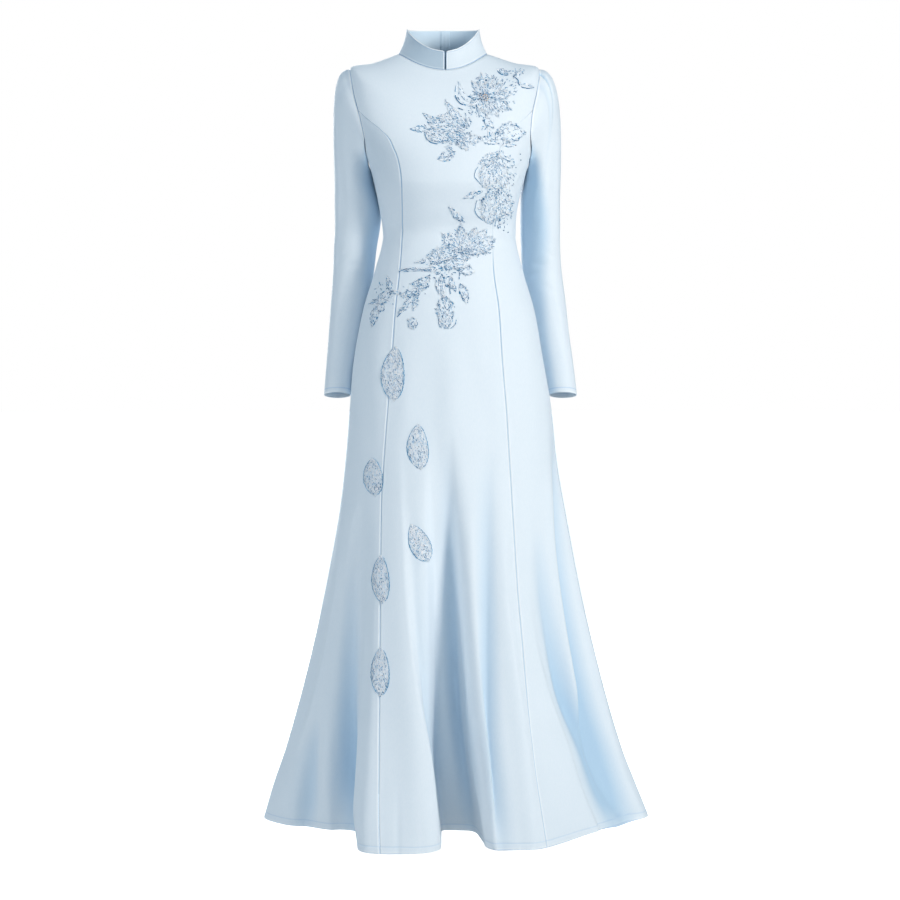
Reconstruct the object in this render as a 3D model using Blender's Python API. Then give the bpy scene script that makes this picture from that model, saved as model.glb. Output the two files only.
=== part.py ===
"""A floor-length dress with a stand collar, long set-in sleeves, princess seams and lace appliques.

The cloth is held in the hollow shape that it has when worn. The origin is the middle of the
neck at the height of the shoulder seams, +Z is up and the front faces -Y. Left and right are
the wearer's: the left side is at +X. Tables are in millimetres, and the model is in metres.
"""

import bpy
import numpy as np
from mathutils import Matrix, Vector
from mathutils.bvhtree import BVHTree

MM = 0.001
CLOTH = 1.5
SLEEVE_CLOTH = 1.5
COLLAR_CLOTH = 2.2
SEAM_GAP = 0.38
HEM_Z = -1418.0


for leftover in list(bpy.data.objects):
    bpy.data.objects.remove(leftover)


def material(name, colour, roughness, metallic=0.0):
    """A plain Principled material for one kind of piece."""
    made = bpy.data.materials.new(name)
    made.use_nodes = True
    shader = made.node_tree.nodes["Principled BSDF"]
    shader.inputs["Base Color"].default_value = (*colour, 1.0)
    shader.inputs["Roughness"].default_value = roughness
    shader.inputs["Metallic"].default_value = metallic
    made.diffuse_color = (*colour, 1.0)
    return made


CREPE = material("crepe", (0.62, 0.76, 0.87), 0.62)
LACE = material("lace", (0.50, 0.64, 0.79), 0.48)
ZIP_METAL = material("zip_metal", (0.60, 0.73, 0.84), 0.35, 0.6)


def through(knots, values, at):
    """A smooth curve through a table's values that doesn't overshoot between two rows."""
    knots = np.asarray(knots, float)
    values = np.asarray(values, float)
    steps = np.diff(knots)
    rises = np.diff(values) / steps
    before, after = rises[:-1], rises[1:]
    mixed = (before * steps[1:] + after * steps[:-1]) / (steps[:-1] + steps[1:])
    most = 3 * np.minimum(abs(before), abs(after))
    slopes = np.concatenate([rises[:1], np.zeros(len(mixed)), rises[-1:]])
    rising = before * after > 0
    slopes[1:-1] = np.where(rising, np.sign(mixed) * np.minimum(abs(mixed), most), 0)
    at = np.clip(at, knots[0], knots[-1])
    row = np.clip(np.searchsorted(knots, at, side="right") - 1, 0, len(steps) - 1)
    t = (at - knots[row]) / steps[row]
    level = (1 + 2 * t) * (1 - t) ** 2 * values[row] + t * t * (3 - 2 * t) * values[row + 1]
    lean = t * (1 - t) ** 2 * slopes[row] + t * t * (t - 1) * slopes[row + 1]
    return level + steps[row] * lean


# The body of the dress, as sections round it from the neck down to the hem

SECTION_COLUMNS = ("side_z", "front_z", "back_z", "right", "left", "front", "back", "round")
SECTIONS = {
    "neck": (0, -36, 13, 87, 77, 66, 62, 2.0),
    "yoke": (-16, -73, -24, 131, 126, 88, 86, 2.1),
    "shoulder_tip": (-27, -112, -70, 175, 171, 104, 102, 2.3),
    "armhole_top": (-70, -142, -106, 175, 174, 113, 110, 2.5),
    "armhole_mid": (-115, -166, -141, 170, 173, 121, 114, 2.5),
    "armhole_low": (-160, -187, -172, 156, 165, 127, 114, 2.45),
    "armpit": (-195, -207, -198, 142, 154, 130, 112, 2.4),
    "bust": (-235, -238, -235, 131, 143, 131, 106, 2.35),
    "under_bust": (-285, -285, -285, 121, 131.5, 113, 96, 2.2),
    "waist": (-332, -332, -332, 115, 129, 95, 88, 2.1),
    "high_hip": (-400, -400, -400, 131, 143.5, 102, 104, 2.15),
    "hip": (-470, -470, -470, 152, 164, 111, 121, 2.15),
    "seat": (-560, -560, -560, 169, 180, 118, 129, 2.15),
    "thigh": (-640, -640, -640, 176, 194, 124, 132, 2.1),
    "above_knee": (-740, -740, -740, 184, 206, 134, 139, 2.05),
    "knee": (-840, -840, -840, 196, 222, 146, 152, 2.0),
    "calf": (-950, -950, -950, 216, 242, 161, 171, 2.0),
    "mid_calf": (-1060, -1060, -1060, 239, 266, 176, 190, 2.0),
    "low_calf": (-1170, -1170, -1170, 266, 294, 191, 207, 2.0),
    "ankle": (-1280, -1280, -1280, 297, 328, 205, 222, 2.0),
    "above_hem": (-1350, -1350, -1350, 321, 355, 213, 230, 2.0),
    "hem": (HEM_Z, HEM_Z, HEM_Z, 341, 382, 218, 236, 2.0),
}
SECTION_NAMES = list(SECTIONS)
NECK, SHOULDER_TIP, ARMPIT = (SECTION_NAMES.index(n) for n in ("neck", "shoulder_tip", "armpit"))
HEM = len(SECTIONS) - 1

# Each fold of the skirt: the angle that it hangs from, where its hem lands, and where it starts
FOLD_COLUMNS = ("hangs_from", "hem_x", "hem_y", "start_z")
FOLDS = {
    "left_edge": (0, 382, 40, -640),
    "left_edge_trough": (13, 352, -12, -600),
    "left_rib": (26, 322, -60, -600),
    "left_trough": (40, 272, -100, -700),
    "left_flute_flank": (52, 214, -186, -760),
    "left_flute_outer": (61, 168, -238, -760),
    "left_flute_dip": (69, 132, -246, -740),
    "left_flute_inner": (78, 92, -252, -740),
    "left_flute_side": (84, 68, -190, -700),
    "centre_trough_left": (88, 52, -116, -680),
    "centre_trough": (93, 14, -90, -680),
    "centre_trough_right": (98, -12, -104, -700),
    "right_flute_side": (103, -10, -206, -740),
    "right_flute_inner": (109, -28, -262, -780),
    "right_flute_crest": (119, -78, -277, -800),
    "right_flute_outer": (129, -136, -268, -800),
    "right_flute_flank": (135, -160, -210, -800),
    "right_trough": (141, -170, -112, -800),
    "right_rib": (153, -236, -72, -860),
    "right_edge_trough": (166, -296, -44, -860),
    "right_edge": (180, -341, 24, -700),
    "right_back_trough": (193, -318, 88, -700),
    "right_back_flute": (207, -292, 192, -720),
    "right_back_valley": (220, -212, 172, -740),
    "right_inner_flute": (234, -176, 284, -740),
    "right_centre_valley": (248, -88, 196, -700),
    "back_right_crest": (262, -38, 296, -700),
    "back_left_crest": (276, 34, 300, -700),
    "left_centre_valley": (291, 92, 192, -700),
    "left_inner_flute": (306, 182, 288, -740),
    "left_back_valley": (320, 226, 168, -720),
    "left_back_flute": (334, 318, 190, -700),
    "left_back_trough": (347, 352, 108, -660),
}
FOLD_GROWTH = 1.25


def section_value(column, v):
    place = SECTION_COLUMNS.index(column)
    return through(range(HEM + 1), [row[place] for row in SECTIONS.values()], v)


def fold_value(column, angle):
    """A column of the fold table at an angle, carried smoothly round the whole ring."""
    place = FOLD_COLUMNS.index(column)
    rows = list(FOLDS.values())
    turns = [(rows[-2], -360), (rows[-1], -360)] + [(r, 0) for r in rows] + [(rows[0], 360), (rows[1], 360)]
    knots = [row[0] + turn for row, turn in turns]
    return through(knots, [row[place] for row, _ in turns], np.mod(angle, 360))


def oval(angle, v):
    """A plain rounded section: x and y in millimetres at an angle from the wearer's left."""
    across, towards = np.cos(np.radians(angle)), np.sin(np.radians(angle))
    power = section_value("round", v)
    reach = (abs(across) ** power + abs(towards) ** power) ** (-1 / power)
    width = np.where(across > 0, section_value("left", v), section_value("right", v))
    depth = np.where(towards > 0, section_value("front", v), section_value("back", v))
    return width * reach * across, -depth * reach * towards


def body_point(angle, v):
    """A point of the cloth's outer side. v counts the sections down from the neck."""
    angle, v = np.broadcast_arrays(np.asarray(angle, float), np.asarray(v, float))
    x, y = oval(angle, v)
    middle_z = np.where(np.sin(np.radians(angle)) > 0, section_value("front_z", v), section_value("back_z", v))
    z = middle_z + (section_value("side_z", v) - middle_z) * np.cos(np.radians(angle)) ** 2
    start = fold_value("start_z", angle)
    grown = np.clip((start - z) / (start - HEM_Z), 0, 1) ** FOLD_GROWTH
    plain_x, plain_y = oval(angle, np.full_like(v, HEM))
    x = x + grown * (fold_value("hem_x", angle) - plain_x)
    y = y + grown * (fold_value("hem_y", angle) - plain_y)
    return np.stack([x, y, z], axis=-1)


def unit(vectors):
    return vectors / np.linalg.norm(vectors, axis=-1, keepdims=True)


def body_slopes(angle, v):
    """How the surface runs round the body and down it."""
    turn, drop = 0.05, 0.004
    round_it = (body_point(angle + turn, v) - body_point(angle - turn, v)) / (2 * turn)
    upper, lower = np.maximum(v - drop, 0), np.minimum(v + drop, HEM)
    down_it = (body_point(angle, lower) - body_point(angle, upper)) / (lower - upper)[..., None]
    return round_it, down_it


def body_normal(angle, v):
    angle, v = np.broadcast_arrays(np.asarray(angle, float), np.asarray(v, float))
    round_it, down_it = body_slopes(angle, v)
    return unit(np.cross(round_it, down_it))


# Seams, as angles that change from section to section

ROWS = np.array(
    [0, 1, 2, 2.15, 2.6, 3.1, 3.5, 3.56, 3.9, 4.4, 5.0, 5.5, 5.85, 6, 6.6, 7.3, 8, 8.6, 9.2]
    + [10, 11, 12, 13, 14, 15, 16, 17, 18, 19, 20, 21]
)
ARMHOLE_ROWS = ROWS[(ROWS >= SHOULDER_TIP) & (ROWS <= ARMPIT)]
PRINCESS_START = 3.5
FRONT_ARMHOLE_ANGLE = 32.0
BACK_ARMHOLE_ANGLE = 29.0
PRINCESS_COLUMNS = ("v", "front_right", "front_left", "back")
PRINCESS = (
    (PRINCESS_START, 0.885, 0.885, 0.885),
    (3.9, 0.735, 0.735, 0.74),
    (4.4, 0.625, 0.625, 0.66),
    (5.0, 0.603, 0.603, 0.61),
    (6.0, 0.594, 0.594, 0.56),
    (7.0, 0.603, 0.603, 0.50),
    (8.0, 0.645, 0.64, 0.47),
    (9.0, 0.681, 0.665, 0.46),
    (10, 0.633, 0.61, 0.47),
    (11, 0.596, 0.593, 0.49),
    (12, 0.577, 0.571, 0.50),
    (14, 0.600, 0.560, 0.50),
    (16, 0.598, 0.547, 0.50),
    (18, 0.594, 0.530, 0.50),
    (21, 0.573, 0.520, 0.50),
)


def armhole_angle(v, widest):
    """Half the armhole's opening at a section: nothing at the shoulder tip and the armpit."""
    down = np.clip((v - SHOULDER_TIP) / (ARMPIT - SHOULDER_TIP), 0, 1)
    return widest * np.sin(np.pi * down) ** 0.62


def princess_angle(v, column):
    """The angle from the side of the body to a princess seam."""
    place = PRINCESS_COLUMNS.index(column)
    share = through([row[0] for row in PRINCESS], [row[place] for row in PRINCESS], v)
    power = section_value("round", v)
    return np.degrees(np.arctan2((1 - share**power) ** (1 / power), share))


def upper_edge(v, column, widest):
    """Where a centre panel ends: at the shoulder seam, then the armhole, then the princess seam."""
    armhole = armhole_angle(v, widest)
    start = armhole_angle(PRINCESS_START, widest)
    first = princess_angle(PRINCESS_START, column)
    return np.where(v < PRINCESS_START, armhole, princess_angle(v, column) + (start - first) * princess_fade(v))


def princess_fade(v):
    """One where the princess seam leaves the armhole, and nothing half a section lower."""
    return np.clip(1 - 2 * (v - PRINCESS_START), 0, 1) ** 2


def moved_off(angle, v, side):
    """An edge's angles moved by half a seam gap, square to the seam. side is +1 or -1."""
    round_it, down_it = body_slopes(angle, v)
    turning = np.gradient(angle, v)
    along = unit(down_it + round_it * turning[:, None])
    square = np.linalg.norm(np.cross(round_it, along), axis=-1)
    return angle + side * SEAM_GAP / 2 / np.maximum(square, 0.35)


def grid_object(name, outer, inner, closed, look):
    """A closed wall between two grids of points, each rows by columns. A closed grid joins up round."""
    rows, columns = outer.shape[:2]
    points = np.concatenate([outer.reshape(-1, 3), inner.reshape(-1, 3)]) * MM
    shift = rows * columns

    def at(row, column):
        return row * columns + column % columns

    faces = []
    last = columns if closed else columns - 1
    for row in range(rows - 1):
        for column in range(last):
            near, far = at(row, column), at(row + 1, column + 1)
            for corner in ((near, at(row, column + 1), far), (near, far, at(row + 1, column))):
                faces.append(corner)
                faces.append(tuple(place + shift for place in reversed(corner)))
    for column in range(last):
        for row, outward in ((0, True), (rows - 1, False)):
            edge = [at(row, column), at(row, column + 1)]
            edge = edge if outward else edge[::-1]
            faces.append((edge[1], edge[0], edge[0] + shift, edge[1] + shift))
    if not closed:
        for row in range(rows - 1):
            for column, outward in ((0, False), (columns - 1, True)):
                edge = [at(row, column), at(row + 1, column)]
                edge = edge if outward else edge[::-1]
                faces.append((edge[1], edge[0], edge[0] + shift, edge[1] + shift))
    mesh = bpy.data.meshes.new(name)
    mesh.from_pydata(points.tolist(), [], faces)
    mesh.update()
    mesh.materials.append(look)
    mesh.shade_smooth()
    made = bpy.data.objects.new(name, mesh)
    bpy.context.scene.collection.objects.link(made)
    return made


def panel(name, rows, first, last, columns):
    """One cut panel of the body between two seams, whose angles are given row by row."""
    first, last = moved_off(first, rows, 1), moved_off(last, rows, -1)
    share = np.linspace(0, 1, columns + 1)[None, :]
    angle = first[:, None] + (last - first)[:, None] * share
    v = np.repeat(rows[:, None], columns + 1, axis=1)
    outer = body_point(angle, v)
    inner = outer - CLOTH * body_normal(angle, v)
    return grid_object(name, outer, inner, False, CREPE)


def build_panels():
    whole = ROWS
    side = ROWS[ROWS > PRINCESS_START]
    front_left = upper_edge(whole, "front_left", FRONT_ARMHOLE_ANGLE)
    front_right = 180 - upper_edge(whole, "front_right", FRONT_ARMHOLE_ANGLE)
    made = [panel("front_centre", whole, front_left, front_right, 24)]

    back_left = 360 - upper_edge(whole, "back", BACK_ARMHOLE_ANGLE)
    back_right = 180 + upper_edge(whole, "back", BACK_ARMHOLE_ANGLE)
    centre_back = np.full_like(whole, 270.0)
    made.append(panel("back_right", whole, back_right, centre_back, 10))
    made.append(panel("back_left", whole, centre_back, back_left, 10))

    front_gap = armhole_angle(side, FRONT_ARMHOLE_ANGLE)
    back_gap = armhole_angle(side, BACK_ARMHOLE_ANGLE)
    side_left = upper_edge(side, "front_left", FRONT_ARMHOLE_ANGLE)
    side_right = 180 - upper_edge(side, "front_right", FRONT_ARMHOLE_ANGLE)
    side_back = upper_edge(side, "back", BACK_ARMHOLE_ANGLE)
    made.append(panel("side_front_left", side, front_gap, side_left, 8))
    made.append(panel("side_front_right", side, side_right, 180 - front_gap, 8))
    made.append(panel("side_back_right", side, 180 + back_gap, 180 + side_back, 8))
    made.append(panel("side_back_left", side, 360 - side_back, 360 - back_gap, 8))
    return made


PANELS = build_panels()


def panel_tree():
    """The outer sides of the panels, to place what lies on them."""
    points, faces = [], []
    for made in PANELS:
        start = len(points)
        outer = len(made.data.vertices) // 2
        points.extend(vertex.co.copy() for vertex in made.data.vertices)
        for face in made.data.polygons:
            if max(face.vertices) < outer:
                faces.append([start + corner for corner in face.vertices])
    return BVHTree.FromPolygons(points, faces)


TREE = panel_tree()


# Sleeves, each from its armhole over the head to a bent arm line, with the forearm a little forward

SLEEVE_COLUMNS = ("z", "middle_x", "middle_y", "half_width", "half_depth", "lean")
SLEEVE_RIGHT = {
    "upper_arm": (-235, -168.5, 38, 37.5, 56, -4),
    "underarm": (-255, -165.5, 41, 40.8, 54.5, -4.5),
    "beside_bust": (-282, -163, 44, 43.6, 53, -5),
    "low_upper_arm": (-312, -163.8, 45, 42.2, 51, -5),
    "above_elbow": (-350, -168, 46, 40, 49, -4),
    "elbow": (-398, -172, 53, 38, 46, 0),
    "below_elbow": (-455, -179, 56, 35.5, 43, 5),
    "forearm": (-510, -187, 55, 31.5, 38, 9),
    "low_forearm": (-567, -195, 44, 27.5, 33, 11),
    "cuff": (-626, -201.5, 30, 25, 29, 12),
}
SLEEVE_LEFT = {
    "upper_arm": (-235, 178.3, 38, 35.2, 56, -4),
    "underarm": (-255, 176.3, 41, 36.8, 54.5, -4.5),
    "beside_bust": (-282, 176.2, 44, 36.9, 53, -5),
    "low_upper_arm": (-312, 176.5, 45, 37, 51, -5),
    "above_elbow": (-350, 177, 46, 36.5, 49, -4),
    "elbow": (-398, 180.5, 53, 36.7, 46, 0),
    "below_elbow": (-455, 191, 56, 34, 43, 5),
    "forearm": (-510, 200, 54, 31, 38, 9),
    "low_forearm": (-567, 210, 44, 28.5, 33, 11),
    "cuff": (-626, 219, 30, 26, 29, 12),
}
CAP_STEPS = (0, 0.09, 0.2, 0.34, 0.5, 0.67, 0.84)
ARM_STEPS = 9
HEAD_REACH, FRONT_REACH, UNDERARM_REACH = 32.0, 24.0, 16.0


def armhole_loop(side):
    """The armhole seam from the shoulder tip down the front and up the back."""
    rows = ARMHOLE_ROWS
    front = armhole_angle(rows, FRONT_ARMHOLE_ANGLE)
    back = -armhole_angle(rows, BACK_ARMHOLE_ANGLE)
    angle = np.concatenate([front, back[-2:0:-1]])
    v = np.concatenate([rows, rows[-2:0:-1]])
    angle = angle if side > 0 else 180 - angle
    seam = body_point(angle, v)
    outward = body_normal(angle, v)
    along = unit(np.roll(seam, -1, axis=0) - np.roll(seam, 1, axis=0))
    into_hole = np.cross(outward, along) * side
    return seam + SEAM_GAP / 2 * into_hole, outward


def arm_ring(table, z, turn):
    """One section of the arm, square to its line. The turn runs from the outer side to the front."""
    values = [through([-row[0] for row in table.values()], [row[i] for row in table.values()], -z) for i in range(1, 6)]
    middle_x, middle_y, half_width, half_depth, lean = values
    side = np.sign(middle_x)
    x = middle_x + side * half_width * np.cos(turn)
    towards = -half_depth * np.sin(turn)
    y = middle_y + towards * np.cos(np.radians(lean))
    return np.stack([x, y, z - towards * np.sin(np.radians(lean))], axis=-1)


def grid_normals(points, closed, side):
    """Outward directions of a grid of points, rows by columns."""
    if closed:
        around = np.roll(points, -1, axis=1) - np.roll(points, 1, axis=1)
    else:
        around = np.gradient(points, axis=1)
    down = np.gradient(points, axis=0)
    return unit(np.cross(around, down)) * side


def sleeve(name, table, side):
    seam, outward = armhole_loop(side)
    count = len(seam)
    lengths = np.linalg.norm(np.roll(seam, -1, axis=0) - seam, axis=1)
    half = count // 2
    front_share = np.concatenate([[0], np.cumsum(lengths[:half])]) / lengths[:half].sum()
    back_share = np.cumsum(lengths[half:-1]) / lengths[half:].sum()
    turn = np.pi * np.concatenate([front_share, 1 + back_share])
    first = arm_ring(table, np.full(count, -235.0), turn)
    headward = (1 + np.cos(turn)) / 2
    under = ((1 - headward) ** 2)[:, None]
    away = unit((1 - under) * np.array([side, 0, 0]) + under * np.array([0, 0.5, -0.85]) + 0.12 * outward)
    reach = FRONT_REACH + (HEAD_REACH - FRONT_REACH) * headward
    reach = reach + (UNDERARM_REACH - reach) * under[:, 0]
    rise = (0.62 + 0.18 * headward) * (seam[:, 2] - first[:, 2])
    lift = (1 - under) * np.array([0.03 * side, -0.05, 1.0]) + under * np.array([0.1 * side, 0, 1.0])
    above = first + rise[:, None] * lift
    corners = (seam, seam + reach[:, None] * away, above, first)
    rings = []
    for t in CAP_STEPS:
        shares = ((1 - t) ** 3, 3 * t * (1 - t) ** 2, 3 * t * t * (1 - t), t**3)
        rings.append(sum(share * corner for share, corner in zip(shares, corners)))
    for z in np.linspace(-235, -626, ARM_STEPS):
        rings.append(arm_ring(table, np.full(count, z), turn))
    outer = np.array(rings)
    outer = outer if side > 0 else outer[:, ::-1]
    inner = outer - SLEEVE_CLOTH * grid_normals(outer, True, 1)
    return grid_object(name, outer, inner, True, CREPE)


sleeve("sleeve_right", SLEEVE_RIGHT, -1)
sleeve("sleeve_left", SLEEVE_LEFT, 1)


# The stand collar, in two halves between the front slit and the zip

COLLAR_TOP_COLUMNS = ("right", "left", "front", "back")
COLLAR_TOP = (71.5, 62.5, 59, 55)
COLLAR_SIDE_Z, COLLAR_FRONT_DROP, COLLAR_BACK_RISE = 46.0, 47.0, 5.0
COLLAR_HOLLOW = 3.0
SLIT_HALF, SLIT_CORNER = 1.7, 2.2


def collar_point(angle, share):
    """The collar's outer side. share is 0 at the neck seam and 1 at the top edge."""
    base = body_point(angle, np.zeros_like(angle))
    seam_run = body_slopes(angle, np.zeros_like(angle))[1]
    base = base - SEAM_GAP * unit(seam_run)
    across, towards = np.cos(np.radians(angle)), np.sin(np.radians(angle))
    right, left, front, back = COLLAR_TOP
    width = np.where(across > 0, left, right)
    depth = np.where(towards > 0, front, back)
    lift = np.where(towards > 0, -COLLAR_FRONT_DROP * abs(towards) ** 1.6, COLLAR_BACK_RISE * abs(towards) ** 1.6)
    top = np.stack([width * across, -depth * towards, COLLAR_SIDE_Z + lift], axis=-1)
    hollow = COLLAR_HOLLOW * 4 * share * (1 - share)
    inward = np.stack([-across, towards, 0 * across], axis=-1)
    return base + (top - base) * share + hollow * inward


def collar_half(name, side):
    """Half of the collar, from the slit in front round to the centre back."""
    slit = np.degrees(np.arcsin(SLIT_HALF / 80))
    back_gap = np.degrees(SEAM_GAP / 2 / 62)
    front, back = np.linspace(0, 90, 13), np.linspace(90, 180, 11)
    turn = np.concatenate([[slit], front[1:], back[1:-1], [180 - back_gap]])
    turn = 90 - side * turn
    rows, directions = [], []
    for share in (1.0, 0.75, 0.5, 0.25, 0.0):
        ring = collar_point(turn, share)
        ring[0, 2] -= SLIT_CORNER * share**4
        ring[1, 2] -= SLIT_CORNER / 4 * share**4
        rows.append(ring)
        around = collar_point(turn + 0.2, share) - collar_point(turn - 0.2, share)
        downward = collar_point(turn, share - 0.02) - collar_point(turn, share + 0.02)
        directions.append(unit(np.cross(around, downward)))
    outer, directions = np.array(rows), np.array(directions)
    inner = outer - COLLAR_CLOTH * directions
    if side > 0:
        outer, inner = outer[:, ::-1], inner[:, ::-1]
    return grid_object(name, outer, inner, False, CREPE)


collar_half("collar_right", -1)
collar_half("collar_left", 1)


# The zip slider and its pull tab, on the centre back seam under the collar

ZIP_V = 0.36
SLIDER_WIDTH, SLIDER_LENGTH, SLIDER_THICK, SLIDER_LIFT = 5.2, 9.0, 1.6, 0.35
PIN_RADIUS, PIN_HEIGHT, PIN_BACK = 0.8, 4.3, 2.0
LUG_THICK, LUG_SPACE = 1.2, 2.2
KNUCKLE_RADIUS, KNUCKLE_LENGTH, EYE_RADIUS = 1.9, 1.8, 0.9
TAB_LENGTH, TAB_WIDTH, TAB_THICK, TAB_TILT = 19.0, 4.8, 1.1, 8.0


def plain_object(name, points, faces, look):
    mesh = bpy.data.meshes.new(name)
    mesh.from_pydata([tuple(p) for p in points], [], faces)
    mesh.update()
    mesh.materials.append(look)
    made = bpy.data.objects.new(name, mesh)
    bpy.context.scene.collection.objects.link(made)
    return made


def prism(name, outline, low, high, look):
    """An outline of (s, n) points, counter-clockwise seen from +X, drawn out from low to high along X."""
    count = len(outline)
    points = [(low, s, n) for s, n in outline] + [(high, s, n) for s, n in outline]
    faces = [tuple(reversed(range(count))), tuple(range(count, 2 * count))]
    for i in range(count):
        after = (i + 1) % count
        faces.append((i, after, after + count, i + count))
    return plain_object(name, points, faces, look)


def ring_outline(radius, s, n, count):
    turns = np.arange(count) * 2 * np.pi / count
    return [(s + radius * np.cos(a), n + radius * np.sin(a)) for a in turns]


def box_outline(s0, s1, n0, n1):
    return [(s0, n0), (s1, n0), (s1, n1), (s0, n1)]


def combined(base, others, operation):
    """Join or cut solids with an exact Boolean, and remove the ones used."""
    for other in others:
        change = base.modifiers.new("combine", "BOOLEAN")
        change.operation = operation
        change.solver = "EXACT"
        change.object = other
        bpy.context.view_layer.update()
        graph = bpy.context.evaluated_depsgraph_get()
        mesh = bpy.data.meshes.new_from_object(base.evaluated_get(graph))
        base.modifiers.clear()
        base.data = mesh
        bpy.data.objects.remove(other)
    return base


def build_zip():
    near = Vector(body_point(270.0, ZIP_V) * MM)
    hits = [TREE.find_nearest(near + Vector((beside, 0, 0))) for beside in (-0.002, 0.002)]
    middle = (hits[0][0] + hits[1][0]) / 2 / MM
    middle.x = 0.0
    outward = hits[0][1] + hits[1][1]
    outward.x = 0.0
    outward.normalize()
    run = Vector((1, 0, 0)).cross(outward)
    run = run if run.z < 0 else -run
    frame = Matrix((Vector((1, 0, 0)), run, outward)).transposed().to_4x4()
    frame.translation = middle
    half = SLIDER_LENGTH / 2
    low, high = SLIDER_LIFT, SLIDER_LIFT + SLIDER_THICK
    width = SLIDER_WIDTH / 2
    base = prism("zip_slider", box_outline(-half, half, low, high), -width, width, ZIP_METAL)
    lug_top = PIN_HEIGHT + 1.5
    inner, outer = LUG_SPACE / 2, LUG_SPACE / 2 + LUG_THICK
    lug = box_outline(-PIN_BACK - 1.8, -PIN_BACK + 1.8, low + 0.4, lug_top)
    pieces = [
        prism("lug_a", lug, -outer, -inner, ZIP_METAL),
        prism("lug_b", lug, inner, outer, ZIP_METAL),
        prism("pin", ring_outline(PIN_RADIUS, -PIN_BACK, PIN_HEIGHT, 16), -inner - 0.5, inner + 0.5, ZIP_METAL),
    ]
    slider = combined(base, pieces, "UNION")

    knuckle = KNUCKLE_LENGTH / 2
    tab = prism("zip_tab", ring_outline(KNUCKLE_RADIUS, 0, 0, 24), -knuckle, knuckle, ZIP_METAL)
    thick = TAB_THICK / 2
    neck = prism("tab_neck", box_outline(1.2, 4.5, -thick, thick), -knuckle, knuckle, ZIP_METAL)
    rim = [(-0.9, 3.6), (-1.6, 6.5), (-2.2, 10.5), (-2.4, 14.5), (-2.0, 17.3), (-1.1, 18.7)]
    rim = rim + [(0, TAB_LENGTH)] + [(-x, s) for x, s in reversed(rim)]
    count = len(rim)
    points = [(x, s, -thick) for x, s in rim] + [(x, s, thick) for x, s in rim]
    faces = [tuple(range(count)), tuple(reversed(range(count, 2 * count)))]
    for i in range(count):
        after = (i + 1) % count
        faces.append((i, i + count, after + count, after))
    plate = plain_object("tab_plate", points, faces, ZIP_METAL)
    tab = combined(tab, [neck, plate], "UNION")
    eye = prism("tab_eye", ring_outline(EYE_RADIUS, 0, 0, 24), -2, 2, ZIP_METAL)
    tab = combined(tab, [eye], "DIFFERENCE")

    swing = Matrix.Rotation(np.radians(-TAB_TILT), 4, "X")
    tab.data.transform(Matrix.Translation((0, -PIN_BACK, PIN_HEIGHT)) @ swing)
    for made in (slider, tab):
        made.data.transform(Matrix.Scale(MM, 4) @ frame)
    return frame @ Vector((0, -PIN_BACK, PIN_HEIGHT))


HINGE = build_zip()


# Lace appliques: thin raised plates that follow the panels, placed on the front elevation

PLATE_LIFT, PLATE_EDGE, PLATE_MIDDLE = 0.5, 1.1, 1.6
PLATE_CLEAR, CLEAR_PASSES = 0.4, 8
BLOOM_COLUMNS = ("x", "z", "half_length", "half_width", "turn", "petals", "petal_depth")
BLOOMS = {
    "applique_blossom": (71, -88, 36, 37, 20, 9, 0.14),
    "applique_chest_cluster": (7, -151, 38, 26, 8, 7, 0.16),
    "applique_breast_petals": (96, -160, 34, 24, -8, 6, 0.15),
    "applique_bud": (1, -193, 14, 11, 35, 5, 0.15),
    "applique_side_upper": (86, -217, 29, 26, 80, 7, 0.15),
    "applique_side_lower": (93, -280, 29, 23, 80, 6, 0.15),
    "applique_waist": (31, -366, 56, 30, 25, 9, 0.14),
}
LEAF_COLUMNS = ("from_x", "from_z", "to_x", "to_z", "widest", "bow")
LEAVES = {
    "applique_curl": (32, -60, 28, -108, 9, -9),
    "applique_shoulder_sprig": (90, -36, 156, -70, 14, 4),
    "applique_chest_leaf": (-62, -147, -34, -151, 15, 2),
    "applique_side_sprig": (32, -256, 62, -266, 10, 2),
    "applique_waist_sprig": (6, -285, 29, -314, 11, 3),
    "applique_waist_stem": (-80, -399, -29, -387, 8, -3),
    "applique_hip_spray": (-104, -408, -132, -499, 24, 4),
    "applique_hip_branch": (-40, -419, -80, -478, 24, 4),
    "applique_ring_drop": (-58, -485, -58, -504, 16, 0),
    "applique_teardrop": (-1, -420, 6, -505, 31, 0),
    "applique_thin_drop": (27, -404, 40, -459, 13, 2),
    "leaf_hip": (-91, -631, -91, -538, 42, 0),
    "leaf_thigh_upper": (-46, -752, -46, -678, 40, 0),
    "leaf_thigh_side": (-129, -802, -129, -739, 38, 0),
    "leaf_knee": (-33, -917, -58, -856, 38, 0),
    "leaf_calf": (-113, -990, -114, -912, 34, 0),
    "leaf_shin": (-114, -1150, -114, -1072, 36, 0),
}


def front_point(x, z):
    """Where the front of the dress is at an elevation point. A ray may slip through a seam, so it tries beside it."""
    for beside in (0, 0.5, -0.5):
        hit, _, _, _ = TREE.ray_cast(Vector((x + beside, -600, z)) * MM, Vector((0, 1, 0)))
        if hit is not None and hit.y < 0:
            return np.array((x, hit.y / MM, z))
    raise ValueError(f"no cloth at {x:.0f}, {z:.0f}")


def front_frame(x, z):
    """The cloth's point and outward direction, smoothed over 6 mm."""
    reach = 3.0
    middle = front_point(x, z)
    across = front_point(x + reach, z) - front_point(x - reach, z)
    upward = front_point(x, z + reach) - front_point(x, z - reach)
    return middle, unit(np.cross(across, upward))


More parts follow.
